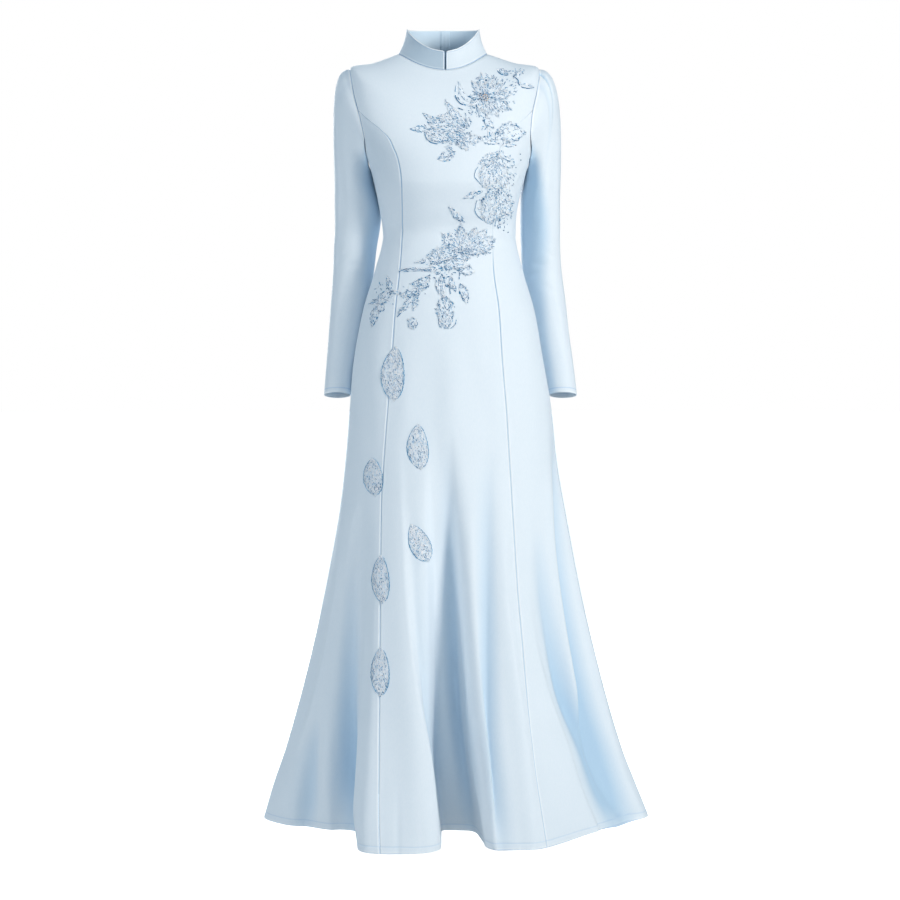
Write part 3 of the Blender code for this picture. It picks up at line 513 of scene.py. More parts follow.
def panel(name, rows, first, last, columns, shaded=0.0):
    """One cut panel between two seams, whose angles are given row by row, and how shaded its chest is."""
    reaches = [np.linalg.norm(body_slopes(seam, rows)[0], axis=-1) for seam in (first, last)]
    gaps = [SEAM_HALF / np.maximum(reach, LEAST_REACH) for reach in reaches]
    angle = even_angles(first + gaps[0], last - gaps[1], rows, columns)
    v = np.repeat(rows[:, None], columns + 1, axis=1)
    normals = body_normal(angle, v)
    points, painted_deep_shade = creased(angle, body_point(angle, v), normals)
    x, y, z = np.moveaxis(points, -1, 0)
    run, above_hem = lengths(points), z - HEM_Z

    def by_seams(place, wide):
        return bell(run - place, wide) + bell(run[:, -1:] - run - place, wide)

    pressed = np.clip((z - PRESSED_LOW) / 40, 0, 1) * np.clip((PRESSED_TOP - z) / 6, 0, 1)
    pressed = pressed * (x > PRESSED_FROM) * (x < PRESSED_TO) * (y < 0)
    pushed = ROLL_DEPTH * by_seams(0, ROLL_WIDE) * (1 - 0.85 * pressed)
    pushed = pushed - SEAM_RISE * by_seams(SEAM_RISE_AT, 1.3)
    pushed = pushed + HEM_GROOVE * bell(above_hem - HEM_TURN, 1.1) + HEM_ROLL * bell(above_hem, 1.2)
    thick = WALL + HEM_THICKER * np.exp(-((above_hem / HEM_TURN) ** 8))
    # Painted shade in the seams' grooves, fainter down the skirt and where lace presses the seams, and along
    # the hem's fold line and lower edge.
    painted_groove_shade = by_seams(0, GROOVE_SHADE_WIDE) * (1 - 0.9 * pressed) * (0.75 - 0.4 * np.clip((-z - 470) / 160, 0, 1))
    painted_groove_shade = painted_groove_shade + 0.25 * bell(above_hem - HEM_TURN, 0.9) + 0.25 * bell(above_hem, 1.0)
    # Painted highlight beside each seam, stronger by the armholes and fainter where lace presses the seams,
    # and just above the hem's edge.
    armhole = np.clip((z + 210) / 20, 0, 1) * np.clip((abs(x) - 120) / 20, 0, 1)
    edge = by_seams(LIT_AT, LIT_WIDE) * (0.5 + 0.45 * armhole) * (1 - 0.9 * pressed)
    edge = edge + 0.35 * bell(above_hem - LIT_AT, 1.0)
    masks = {"painted_deep_shade": painted_deep_shade, "shade": shaded * bell(z - CHEST_Z, CHEST_TALL), "painted_groove_shade": painted_groove_shade, "edge": edge}
    outer, inner = points - pushed[..., None] * normals, points - thick[..., None] * normals
    return crepe_wall(name, outer, inner, False, masks)


def build_panels():
    """The seven panels. Rows stand closer above the hip, where the princess seams start, and in the hem."""
    close, apart, density = ((4.8, 8.6, 1.0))
    upper, lower = dense_rows(0, HEM, close), dense_rows(0, HEM, apart)
    hem_rows, seam_rows = HEM - HEM_ROWS / MM_PER_HEM_SECTION, np.linspace(3.45, 4.2, 12)
    whole = np.unique(np.concatenate([upper[upper < 10], lower[lower >= 10.05], hem_rows, seam_rows]))
    side = np.concatenate([[PRINCESS_START + 0.035], whole[whole > PRINCESS_START + 0.05]])
    front_gap, back_gap = armhole_angle(side, FRONT_ARMHOLE_ANGLE), armhole_angle(side, BACK_ARMHOLE_ANGLE)
    left, side_left = [upper_edge(rows, "front_left", FRONT_ARMHOLE_ANGLE) for rows in (whole, side)]
    right, side_right = [180 - upper_edge(rows, "front_right", FRONT_ARMHOLE_ANGLE) for rows in (whole, side)]
    back, side_back = [upper_edge(rows, "back", BACK_ARMHOLE_ANGLE) for rows in (whole, side)]
    centre = np.full_like(whole, 270.0)
    cuts = {
        "front_centre": (whole, left, right, 156),
        "side_front_left": (side, front_gap, side_left, 70),
        "side_front_right": (side, side_right, 180 - front_gap, 70, 0.3),
        "side_back_right": (side, 180 + back_gap, 180 + side_back, 46),
        "side_back_left": (side, 360 - side_back, 360 - back_gap, 46),
        "back_right": (whole, 180 + back, centre, 54),
        "back_left": (whole, centre, 360 - back, 54),
    }
    made = {}
    for label, (rows, first, last, columns, *shaded) in cuts.items():
        made[label] = panel("cloth_" + label, rows, first, last, int(columns * density), *shaded)
    return made


PANELS = build_panels()


# Sleeves: one piece each, set into the armhole over a softly gathered head, bent at the elbow and
# open at the cuff, with an underarm seam, folds inside the elbow and a narrow turned hem.
# A row has its height, the middle's x and y, half the width and depth, and the ring's lean.
SLEEVE_RIGHT = {
    "upper_arm": (-235, -168.5, 38, 37.5, 56, -4),
    "underarm": (-255, -165.5, 41, 40.8, 54.5, -4.5),
    "beside_bust": (-282, -163, 44, 43.6, 53, -5),
    "low_upper_arm": (-312, -163.8, 45, 42.2, 51, -5),
    "above_elbow": (-350, -168, 46, 40, 49, -4),
    "elbow": (-398, -172, 53, 38, 46, 0),
    "below_elbow": (-455, -179, 56, 35.5, 43, 5),
    "forearm": (-510, -187, 55, 31.5, 38, 9),
    "low_forearm": (-567, -195, 44, 27.5, 33, 11),
    "cuff": (-626, -201.5, 30, 25, 29, 12),
}
SLEEVE_LEFT = {
    "upper_arm": (-235, 178.3, 38, 35.2, 56, -4),
    "underarm": (-255, 176.3, 41, 36.8, 54.5, -4.5),
    "beside_bust": (-282, 176.2, 44, 36.9, 53, -5),
    "low_upper_arm": (-312, 176.5, 45, 37, 51, -5),
    "above_elbow": (-350, 177, 46, 36.5, 49, -4),
    "elbow": (-398, 180.5, 53, 36.7, 46, 0),
    "below_elbow": (-455, 191, 56, 34, 43, 5),
    "forearm": (-510, 200, 54, 31, 38, 9),
    "low_forearm": (-567, 210, 44, 28.5, 33, 11),
    "cuff": (-626, 219, 30, 26, 29, 12),
}
ARM_TOP_Z, ARM_LOW_Z, CUFF_Z, CUFF_TURN = -235.0, -615.0, -626.0, 9.0
CUFF_ROWS = np.array([10.0, 9.0, 8.2, 7.4, 6.4, 4.0, 2.0, 0.9, 0.0])
SEAM_OUT, SEAM_IN, UNDERARM_GROOVE = 0.16, 0.5, 0.5
HEAD_REACH, FRONT_REACH, UNDERARM_REACH = 32.0, 24.0, 16.0
# Gathers of the head: turn from its top, half width, depth, length and slant.
GATHERS_RIGHT = (
    (-58, 7, -0.8, 50, 0), (-30, 6, -0.9, 74, 0), (-8, 6, 0.7, 58, 0), (14, 6, -0.7, 40, 0),
    (40, 6, -0.6, 50, 0),
)
GATHERS_LEFT = (
    (-58, 7, -1.0, 50, 0), (-24, 6, -1.2, 74, 0), (-6, 6, 0.8, 58, 0), (8, 6, -1.0, 50, 0.2),
    (16, 3.6, -5.2, 60, 0.6), (25, 6, 2.2, 82, 0.55), (40, 7, -1.6, 110, 0.4),
)
GATHER_FULL_SHADE, MM_PER_DEGREE = 3.6, 0.75
# Creases: turn, height, half length, half width, depth and lean. Folds: turn, upper and lower end,
# half width and depth. The shade inside the arm: height, the turn it starts from and its strength.
ARM_CREASES = (
    (62, -366, 15, 5, -1.4, 66), (96, -384, 18, 5, -1.8, 82), (118, -402, 16, 5, -1.3, 96),
    (80, -428, 20, 6, -1.2, 70), (58, -250, 60, 7, -1.2, 4), (28, -300, 80, 9, 0.9, 3),
    (100, -300, 46, 8, -1.0, -8), (70, -500, 60, 8, -0.9, 6), (250, -300, 50, 9, -1.1, -6),
    (300, -380, 36, 8, -0.9, 14), (270, -430, 26, 8, -0.8, -60), (30, -540, 40, 7, 0.7, -4),
)
ARM_FOLDS = (
    (128, -130, -400, 18, -2.6), (92, -170, -400, 16, 1.4), (50, -90, -330, 11, -1.4),
    (62, -400, -640, 18, 1.4), (236, -150, -430, 14, -2.6), (300, -120, -420, 13, -2.0),
    (270, -400, -640, 18, 1.6),
)
INNER_SHADE_RIGHT = (
    (-140, 160, 0.2), (-200, 128, 0.7), (-330, 122, 0.75), (-490, 134, 0.6), (-626, 138, 0.6),
)
INNER_SHADE_LEFT = (
    (-135, 160, 0.5), (-180, 124, 0.95), (-250, 88, 0.95), (-330, 72, 0.85), (-420, 92, 0.7),
    (-500, 112, 0.55), (-626, 128, 0.5),
)
SHADE_SOFT, SHADE_END, SHADE_TOP_Z = 42.0, 205, -120


def eased(share):
    return share**2 * (3 - 2 * share)


def sleeve(name, table, gathers, inner_shade, side):
    """A sleeve from its armhole to its cuff. The side is 1 at the wearer's left and -1 at the right."""
    count, cap_rows, arm_rows = ((88, 60, 84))
    rows = SHOULDER_TIP + (ARMPIT - SHOULDER_TIP) * (1 - np.cos(np.pi * np.linspace(0, 1, 400))) / 2
    halves = []
    for widest in (FRONT_ARMHOLE_ANGLE, -BACK_ARMHOLE_ANGLE):
        turned = armhole_angle(rows, widest)
        run = lengths(body_point(turned if side > 0 else 180 - turned, rows))
        even = np.linspace(0, run[-1], count // 2 + 1)
        rows_at, half_turn = np.interp(even, run, rows), np.pi * even / run[-1]
        turned = armhole_angle(rows_at, widest)
        half_turn = half_turn if widest > 0 else 2 * np.pi - half_turn
        halves.append((turned if side > 0 else 180 - turned, rows_at, half_turn))
    angle, rows_at, turn = [np.concatenate([front, back[-2:0:-1]]) for front, back in zip(*halves)]
    seam, outward = body_point(angle, rows_at), body_normal(angle, rows_at)
    along = unit(np.roll(seam, -1, axis=0) - np.roll(seam, 1, axis=0))
    seam = seam + SEAM_OUT * np.cross(outward, along) * side - SEAM_IN * outward
    heights, *columns = np.transpose(list(table.values()))

    def ring(z):
        middle_x, middle_y, half_width, half_depth, lean = [
            through(-heights, column, -z)[:, None] for column in columns]
        x, towards = middle_x + side * half_width * np.cos(turn), -half_depth * np.sin(turn)
        lean = np.radians(lean)
        return np.stack([x, middle_y + towards * np.cos(lean), z[:, None] - towards * np.sin(lean)], axis=-1)

    top = ring(np.array([ARM_TOP_Z]))[0]
    headward = (1 + np.cos(turn))[:, None] / 2
    under = (1 - headward) ** 2
    away = unit((1 - under) * np.array([side, 0, 0]) + under * np.array([0, 0.5, -0.85]) + 0.12 * outward)
    reach = FRONT_REACH + (HEAD_REACH - FRONT_REACH) * headward
    reach = reach + (UNDERARM_REACH - reach) * under
    lift = (1 - under) * np.array([0.03 * side, -0.05, 1.0]) + under * np.array([0.1 * side, 0, 1.0])
    above = top + (0.62 + 0.18 * headward) * (seam[:, 2:] - top[:, 2:]) * lift
    t = np.linspace(0, 1, cap_rows)[:-1, None, None] ** 1.25
    cap = (1 - t) ** 3 * seam + 3 * t * (1 - t) ** 2 * (seam + reach * away)
    cap = cap + 3 * t * t * (1 - t) * above + t**3 * top
    arm_z = np.linspace(ARM_TOP_Z, ARM_LOW_Z, arm_rows)
    points = np.concatenate([cap, ring(np.concatenate([arm_z, CUFF_Z + CUFF_ROWS]))])
    if side < 0:
        points, turn = points[:, ::-1], turn[::-1]
    around = np.roll(points, -1, axis=1) - np.roll(points, 1, axis=1)
    normals = unit(np.cross(around, np.gradient(points, axis=0)))
    run = lengths(points.swapaxes(0, 1)).T
    z, degrees, from_cuff = points[..., 2], np.degrees(turn)[None, :], run[-1:] - run
    moved, painted_deep_shade = np.zeros(z.shape), np.zeros(z.shape)

    def off_from(centre):
        return (degrees - centre + 180) % 360 - 180

    # Gathers of the head; where they go in, the cloth gets painted shade.
    for centre, half_wide, depth, length, slant in gathers:
        bump = depth * bell(off_from(centre + slant * run), half_wide) * bell(run, length)
        bump = bump * np.clip(run / 3, 0, 1)
        painted_deep_shade += np.clip(-bump / GATHER_FULL_SHADE, 0, 1) ** 1.5
        moved += bump
    for centre, crease_z, half_long, half_wide, depth, lean in ARM_CREASES:
        off, up, lean = off_from(centre) * MM_PER_DEGREE, z - crease_z, np.radians(lean)
        long_way, wide_way = up * np.cos(lean) + off * np.sin(lean), off * np.cos(lean) - up * np.sin(lean)
        moved += depth * bell(long_way, half_long) * bell(wide_way, half_wide)
    for centre, top_z, low_z, half_wide, depth in ARM_FOLDS:
        along = np.clip((top_z - z) / 60, 0, 1) * np.clip((z - low_z) / 90, 0, 1)
        moved += depth * bell(off_from(centre), half_wide) * eased(along)
    # Painted shade down the inner side of the arm, where the body shades it, down to the cuff.
    shade_z, from_turn, strength = np.transpose(inner_shade)
    within = np.clip((degrees - through(-shade_z, from_turn, -z)) / SHADE_SOFT + 0.5, 0, 1)
    within = within * np.clip((SHADE_END - degrees) / 20, 0, 1)
    painted_deep_shade += through(-shade_z, strength, -z) * eased(within) * np.clip((SHADE_TOP_Z - z) / 30, 0, 1)
    moved -= UNDERARM_GROOVE * bell(off_from(180), 1.6)
    pushed = 0.25 * bell(from_cuff - CUFF_TURN, 1.0) + 0.5 * bell(from_cuff, 1.0) + 0.55 * bell(run, 1.6)
    outer = points + (moved - pushed)[..., None] * normals
    inner = points + (moved * 0.8 - WALL)[..., None] * normals
    # Painted shade in the armhole seam and the cuff's fold line, and a painted highlight beside the armhole
    # seam and above the cuff's edge.
    painted_groove_shade = 0.65 * bell(run, 1.2) + 0.4 * bell(from_cuff - CUFF_TURN, 0.9)
    edge = bell(run - 2.9, 1.3) + 0.55 * bell(from_cuff - 2.2, 1.0)
    return crepe_wall(name, outer, inner, True, {"painted_deep_shade": painted_deep_shade, "painted_groove_shade": painted_groove_shade, "edge": edge})


for made in (sleeve("cloth_sleeve_right", SLEEVE_RIGHT, GATHERS_RIGHT, INNER_SHADE_RIGHT, -1),
             sleeve("cloth_sleeve_left", SLEEVE_LEFT, GATHERS_LEFT, INNER_SHADE_LEFT, 1)):
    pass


# The stand collar: two interfaced halves that meet at the front slit and at the centre back, with
# a rolled top edge and a fine edge stitch. A share runs from its seam at 0 to its top at 1.
COLLAR_TOP = (71.5, 62.5, 59, 55)
COLLAR_SIDE_Z, COLLAR_FRONT_DROP, COLLAR_BACK_RISE, COLLAR_HOLLOW = 46.0, 47.0, 5.0, 3.0
COLLAR_WALL, SLIT_HALF, SLIT_CORNER, STITCH_AT = 2.2, 1.5, 2.4, 3.6
MM_FROM_TOP, MM_FROM_BASE, COLLAR_BULGE = 44, 40, 1.6
COLLAR_SHARES = (
    1, 0.995, 0.985, 0.965, 0.94, 0.925, 0.915, 0.905, 0.895, 0.88, 0.84, 0.78,
    0.7, 0.6, 0.5, 0.4, 0.3, 0.2, 0.12, 0.06, 0.03, 0.015, 0.0)


def collar_point(angle, share):
    angle, share = np.broadcast_arrays(np.asarray(angle, float), np.asarray(share, float))
    base = body_point(angle, np.zeros_like(angle))
    base = base - 0.3 * unit(body_slopes(angle, np.zeros_like(angle))[1])
    across, towards = np.cos(np.radians(angle)), np.sin(np.radians(angle))
    right, left, front, back = COLLAR_TOP
    width, depth = np.where(across > 0, left, right), np.where(towards > 0, front, back)
    lift = np.where(towards > 0, -COLLAR_FRONT_DROP, COLLAR_BACK_RISE) * abs(towards) ** COLLAR_BULGE
    top = np.stack([width * across, -depth * towards, COLLAR_SIDE_Z + lift], axis=-1)
    hollow = COLLAR_HOLLOW * 4 * share * (1 - share)
    inward = np.stack([-across, towards, 0 * across], axis=-1)
    return base + (top - base) * share[..., None] + hollow[..., None] * inward


def collar_normal(angle, share):
    around = collar_point(angle + 0.2, share) - collar_point(angle - 0.2, share)
    return unit(np.cross(around, collar_point(angle, share - 0.01) - collar_point(angle, share + 0.01)))


def collar(name, side):
    slit, back_gap = np.degrees(np.arcsin(SLIT_HALF / 80)), np.degrees(0.17 / 62)
    even = np.linspace(0, 1, 121)
    closer = even - 0.7 * np.sin(2 * np.pi * even) / (2 * np.pi)
    angle, share = np.meshgrid(90 - side * (slit + (180 - slit - back_gap) * closer), COLLAR_SHARES)
    points, normals = collar_point(angle, share), collar_normal(angle, share)
    near_slit, forward = abs(points[..., 0]) - SLIT_HALF, points[..., 1] < 0
    points[..., 2] -= SLIT_CORNER * np.exp(-near_slit / 1.6) * share**6 * forward
    from_top, from_base = (1 - share) * MM_FROM_TOP, share * MM_FROM_BASE
    pushed = 0.9 * bell(from_top, 0.8) + 0.7 * bell(from_base, 0.9) + 0.28 * bell(from_top - STITCH_AT, 0.55)
    pushed = pushed + 0.8 * bell(near_slit, 0.9) * forward
    # Painted shade in the base seam, the edge stitch and the slit, and a painted highlight along the top
    # edge, beside the slit and above the base seam.
    painted_groove_shade = 0.9 * bell(from_base, 1.0) + 0.35 * bell(from_top - STITCH_AT, 0.6)
    painted_groove_shade = painted_groove_shade + 0.8 * bell(near_slit, 0.5) * forward
    edge = 0.9 * bell(from_top, 1.3) + 0.8 * bell(near_slit - 1.4, 0.7) * forward
    edge = edge + 0.35 * bell(from_base - 2.2, 0.8)
    shade = (0.9 if side < 0 else 0.08) * eased(np.clip((-points[..., 1] - 5) / 40, 0, 1))
    shade = shade * (1 - np.clip(edge, 0, 0.8))
    outer = points - pushed[..., None] * normals
    inner = points - (COLLAR_WALL - 0.7 * bell(from_top, 0.8))[..., None] * normals
    if side > 0:
        outer, inner, shade, painted_groove_shade, edge = [grid[:, ::-1] for grid in (outer, inner, shade, painted_groove_shade, edge)]
    none = np.zeros(shade.shape)
    # The inside faces take the painted bluer shade tone; the painted shade and groove shade lie on the
    # outside only, the painted highlight on both sides.
    masks = {
        "facing": np.stack([none, none + 1]), "shade": np.stack([shade, none]),
        "painted_groove_shade": np.stack([painted_groove_shade, none]), "edge": edge}
    return crepe_wall(name, outer, inner, False, masks)


for made, wide in ((collar("cloth_collar_right", -1), 0.242), (collar("cloth_collar_left", 1), 0.226)):
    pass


# The concealed zip: its tape behind the centre back seam up to the collar's top, and the metal of
# the slider and pull tab.
TAPE_WIDE, TAPE_THICK, TAPE_LOW, COIL_RISE = 15.0, 0.4, 9.2, 0.25
BEHIND_COLLAR, BEHIND_BACK = COLLAR_WALL + 0.2, WALL + 1.6
TAPE_COLUMNS = np.array([-1, -0.75, -0.5, -0.22, -0.12, 0.12, 0.22, 0.5, 0.75, 1])


def zip_tape():
    across, thick = TAPE_COLUMNS * TAPE_WIDE / 2, TAPE_THICK + COIL_RISE * (abs(TAPE_COLUMNS) < 0.2)
    angle, rows = 270 + np.degrees(across / 60), []
    for share in np.linspace(0.97, 0.02, 14):
        normals = collar_normal(angle, share)
        rows.append((collar_point(angle, share) - BEHIND_COLLAR * normals, normals))
    for v in dense_rows(0, TAPE_LOW, 12.0)[1:]:
        angle = 270 + across / np.linalg.norm(body_slopes(np.array([270.0]), np.array([v]))[0])
        normals = body_normal(angle, v)
        rows.append((body_point(angle, v) - BEHIND_BACK * normals, normals))
    outer, normals = np.swapaxes(rows, 0, 1)
    # The tape takes the collar inside's painted bluer shade tone.
    masks = {"facing": np.ones(outer.shape[:2])}
    return crepe_wall("zip_tape", outer, outer - thick[:, None] * normals, False, masks)


zip_tape()


def zip_metal():
    made, tree, shader = material("zip_enamel", Metallic=0.55)
    wear = texture(tree, "ShaderNodeTexNoise", (-700, 0), {"Scale": 900.0, "Detail": 5.0})
    gloss = node(tree, "ShaderNodeMapRange", (-400, -100), {"To Min": 0.22, "To Max": 0.42})
    tone = ramp(wear, "Fac", ((0.35, (0.52, 0.66, 0.78)), (0.65, (0.64, 0.77, 0.87))))
    wire(tone, "Color", shader, "Base Color")
    wire(wear, "Fac", gloss, "Value")
    wire(gloss, "Result", shader, "Roughness")
    roughen(shader, wear, "Fac", 0.15, 0.0001)
    return made


ZIP_METAL = zip_metal()
for label in ("zip_slider", "zip_tab"):
    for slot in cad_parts[label].material_slots:
        slot.material = ZIP_METAL


# Lace appliques, cut apart and sewn on by hand: petals and leaves of fine net, edged and filled
# with couched cords and short curled threads, with small beads between them. Petals:
# base, tip, width and fullness. Tendrils: start, end, bow and thickness. Beads: place and radius.
PETALS = {
    "blossom": (
        (69, -89, 48, -58, 12, 0.4), (69, -89, 64, -42, 9, 0.35), (69, -89, 88, -50, 12, 0.4),
        (69, -89, 102, -63, 15, 0.5), (69, -89, 119, -81, 17, 0.5), (69, -89, 118, -111, 17, 0.45),
        (69, -89, 95, -124, 15, 0.45), (69, -89, 74, -124, 11, 0.5), (69, -89, 58, -117, 12, 0.45),
        (69, -89, 42, -105, 12, 0.4), (69, -89, 40, -87, 7, 0.3)),
    "curl": ((40, -98, 23, -60, 9, 0.3),),
    "shoulder_sprig": (
        (113, -44, 94, -33, 9, 0.5), (125, -51, 138, -36, 8, 0.4), (128, -60, 160, -66, 5, 0.3)),
    "chest_leaf": ((-28, -149, -63, -148, 11, 0.25),),
    "chest_cluster": (
        (-15, -136, -40, -119, 8, 0.3), (30, -154, -31, -135, 27, 0.6), (30, -156, -38, -152, 25, 0.5),
        (37, -166, -30, -165, 18, 0.6), (27, -143, -12, -124, 18, 0.55), (27, -141, 0, -95, 13, 0.35),
        (37, -145, 15, -110, 12, 0.4), (43, -143, 36, -120, 7, 0.3), (30, -154, 38, -186, 27, 0.6),
        (39, -170, 61, -163, 13, 0.5)),
    "bud": ((17, -189, -13, -204, 16, 0.6), (14, -187, 0, -180, 10, 0.5)),
    "breast_petals": (
        (68, -127, 86, -145, 12, 0.5), (61, -165, 95, -173, 12, 0.5), (93, -155, 144, -150, 31, 0.55),
        (93, -174, 129, -175, 6, 0.4), (81, -170, 78, -147, 10, 0.5), (90, -167, 118, -133, 18, 0.5)),
    "side_upper": (
        (94, -191, 60, -210, 16, 0.5), (91, -202, 67, -251, 35, 0.75), (90, -196, 108, -249, 27, 0.7),
        (96, -186, 116, -203, 8, 0.4)),
    "side_lower": (
        (87, -260, 76, -313, 41, 0.8), (93, -254, 74, -255, 14, 0.6), (95, -255, 114, -297, 27, 0.6),
        (109, -295, 95, -322, 7, 0.4)),
    "side_sprig": ((65, -259, 32, -271, 10, 0.35),),
    "waist_sprig": ((34, -312, 7, -286, 10, 0.35),),
    "waist": (
        (27, -360, 27, -314, 15, 0.5), (18, -363, -6, -331, 14, 0.4), (25, -361, 8, -330, 12, 0.4),
        (29, -362, 56, -323, 19, 0.55), (32, -365, 75, -324, 19, 0.5), (36, -366, 90, -341, 22, 0.65),
        (37, -367, 86, -355, 15, 0.5), (32, -367, 72, -364, 10, 0.4), (20, -367, -33, -375, 22, 0.75),
        (15, -374, 45, -377, 10, 0.5), (13, -383, 41, -394, 19, 0.6), (25, -397, 53, -401, 14, 0.6),
        (-26, -387, -6, -360, 15, 0.5), (-6, -394, -33, -398, 15, 0.5), (1, -398, 18, -376, 15, 0.5)),
    "waist_stem": ((-35, -399, -83, -400, 6, 0.2), (-35, -382, -55, -385, 6, 0.4)),
    "hip_branch": (
        (-29, -411, -51, -439, 19, 0.55), (-44, -423, -60, -423, 10, 0.45), (-46, -439, -86, -478, 12, 0.35),
        (-47, -432, -80, -445, 12, 0.45), (-52, -442, -57, -471, 12, 0.45)),
    "hip_spray": (
        (-97, -435, -105, -408, 10, 0.4), (-96, -437, -78, -440, 7, 0.5), (-99, -437, -126, -457, 15, 0.5),
        (-104, -454, -139, -458, 10, 0.4), (-115, -456, -120, -475, 14, 0.5),
        (-124, -464, -133, -499, 14, 0.6)),
    "ring_drop": ((-59, -484, -59, -504, 17, 0.9),),
    "teardrop": (
        (-6, -407, -4, -445, 12, 0.5), (-2, -446, 2, -504, 29, 0.7), (9, -411, 19, -437, 10, 0.45),
        (-16, -418, -11, -441, 10, 0.5)),
    "thin_drop": ((27, -424, 38, -459, 14, 0.55),),
    "leaf_hip": ((-93, -631, -89, -538, 42, 0.76),),
    "leaf_thigh_upper": ((-44, -753, -49, -677, 38, 0.76),),
    "leaf_thigh_side": ((-126, -803, -131, -738, 36, 0.76),),
    "leaf_knee": ((-32, -918, -60, -855, 36, 0.76),),
    "leaf_calf": ((-112, -991, -115, -911, 32, 0.76),),
    "leaf_shin": ((-114, -1151, -114, -1071, 33, 0.76),),
}
TENDRILS = {
    "curl": (
        (22, -62, 18, -86, -2, 1.1), (18, -86, 37, -104, -6, 1.3), (26, -71, 23, -90, -1, 0.8),
        (23, -90, 33, -99, -3, 0.9), (42, -87, 61, -95, -3, 0.9), (23, -109, 32, -113, 0, 0.8)),
    "shoulder_sprig": (
        (94, -38, 113, -46, -5, 1.2), (122, -48, 133, -66, 5, 1), (133, -66, 160, -66, -5, 1.2)),
    "chest_cluster": (
        (-18, -153, 9, -162, 4, 1.2), (9, -162, 24, -176, 4, 1.2), (-36, -155, -14, -175, -9, 1)),
    "breast_petals": (
        (73, -123, 69, -135, 0, 1), (79, -153, 93, -174, -5, 1.1), (118, -163, 131, -165, -3, 1.1),
        (131, -165, 144, -150, 3, 1.1)),
    "side_upper": (
        (58, -216, 64, -246, -12, 0.6), (85, -196, 91, -220, 0, 1.1), (103, -187, 117, -203, -9, 1)),
    "side_lower": (
        (72, -270, 80, -252, 0, 1.2), (57, -274, 69, -310, -13, 0.7), (69, -310, 87, -305, -11, 0.8),
        (109, -296, 96, -321, -7, 1)),
    "waist": (
        (-5, -365, 20, -367, 0, 1.2), (20, -367, 41, -378, 5, 1), (-27, -382, -17, -383, 0, 1.1),
        (63, -350, 71, -362, 0, 1.1), (-17, -387, 18, -376, 0, 1), (-28, -406, -14, -416, 0, 1.3),
        (25, -393, 25, -415, 0, 1.1)),
    "waist_stem": (
        (-83, -400, -59, -396, 2, 1.1), (-59, -397, -33, -396, -2, 1.1), (-62, -398, -33, -400, 2, 0.8)),
    "hip_branch": ((-59, -422, -40, -418, 4, 1.1), (-87, -482, -68, -463, 0, 1)),
    "teardrop": (
        (-4, -418, 10, -445, 6, 1.1), (-11, -489, -1, -504, -6, 1), (10, -504, 20, -488, -3, 1)),
}
BEADS = {
    "waist": ((27, -320, 1.6), (61, -348, 1.4), (85, -347, 1.4), (-28, -408, 1.5)),
    "side_lower": ((105, -325, 1.2), (113, -328, 1.3), (89, -317, 1.2), (95, -321, 1.3)),
    "side_upper": ((134, -189, 1.1), (135, -199, 1.1), (126, -213, 1.0), (100, -227, 1.2)),
}
# Loose threads around a motif: its middle, its reach in x and z, and their number.
SCATTERED = {
    "blossom": (
        (69, -89, 20, 20, 150), (94, -82, 36, 36, 170), (70, -55, 16, 14, 40), (60, -112, 20, 14, 60)),
    "shoulder_sprig": ((128, -38, 16, 9, 16),),
    "chest_cluster": ((5, -148, 44, 28, 150), (40, -168, 22, 14, 60)),
    "breast_petals": ((74, -143, 12, 20, 34), (112, -155, 26, 16, 22)),
    "side_upper": ((100, -222, 28, 36, 130),),
    "side_lower": ((100, -284, 26, 38, 130),),
    "waist": ((40, -350, 52, 28, 150), (5, -392, 42, 22, 130)),
    "hip_branch": ((-58, -440, 22, 20, 34),),
    "hip_spray": ((-112, -445, 24, 26, 40),),
    "teardrop": ((0, -430, 14, 26, 30),),
}
NET_LIFT, NET_EDGE, NET_CROWN, NET_ROW, PETAL_STEP = 0.3, 0.08, 0.6, 2.4, 0.06
CORD_RADIUS, CORD_LIFT = 0.85, 0.15
PETAL_SHARE, THREAD_AREA, BEAD_AREA = 0.62, 3.2, 60
STITCHES, TENDRIL_STITCHES = (2.2, 6.5), (3.0, 8.0)
DARK_TONES, LIGHT_TONES, CORDED_TONES = (0.0, 0.08, 0.2, 0.38), (0.68, 0.82, 0.94, 1.0), (0.3, 0.42, 0.5)
THREAD_TONES = (
    (0.0, (0.002, 0.145, 0.34)), (0.4, (0.03, 0.33, 0.60)), (0.6, (0.48, 0.68, 0.87)),
    (0.8, (0.84, 0.90, 0.96)), (1.0, (0.96, 0.97, 1.0)))
BEAD_TONES = (
    (0.0, (0.05, 0.08, 0.16)), (0.06, (0.20, 0.34, 0.52)), (0.35, (0.72, 0.78, 0.84)),
    (0.7, (0.95, 0.95, 0.96)), (1.5 / 1.6, (0.80, 0.56, 0.40)))
# How much of each piece's edge is corded, how densely it is filled with threads, how far they
# spread and turn, and the share of dark ones.
LACEWORK = {
    "blossom": (0.0, 1.25, 1.6, 0.28, 0.46),
    "curl": (0.0, 0.3, 0.9, 0.25, 0.4),
    "chest_leaf": (0.85, 0.3, 0.9, 0.8, 0.46),
    "side_upper": (0.15, 0.8, 1.2, 0.55, 0.44),
    "side_lower": (0.25, 0.75, 1.15, 0.55, 0.44),
    "breast_petals": (0.4, 0.35, 1.2, 0.6, 0.46),
    "waist": (0.1, 1.0, 1.4, 0.5, 0.45),
    "chest_cluster": (0.1, 0.95, 1.35, 0.6, 0.44),
}
PLAIN_LACEWORK, LEAF_LACEWORK = (0.4, 0.9, 1.15, 0.55, 0.46), (1.0, 1.5, 0.92, 0.45, 0.16)
TOWARDS_BACK = Vector((0, 1, 0))


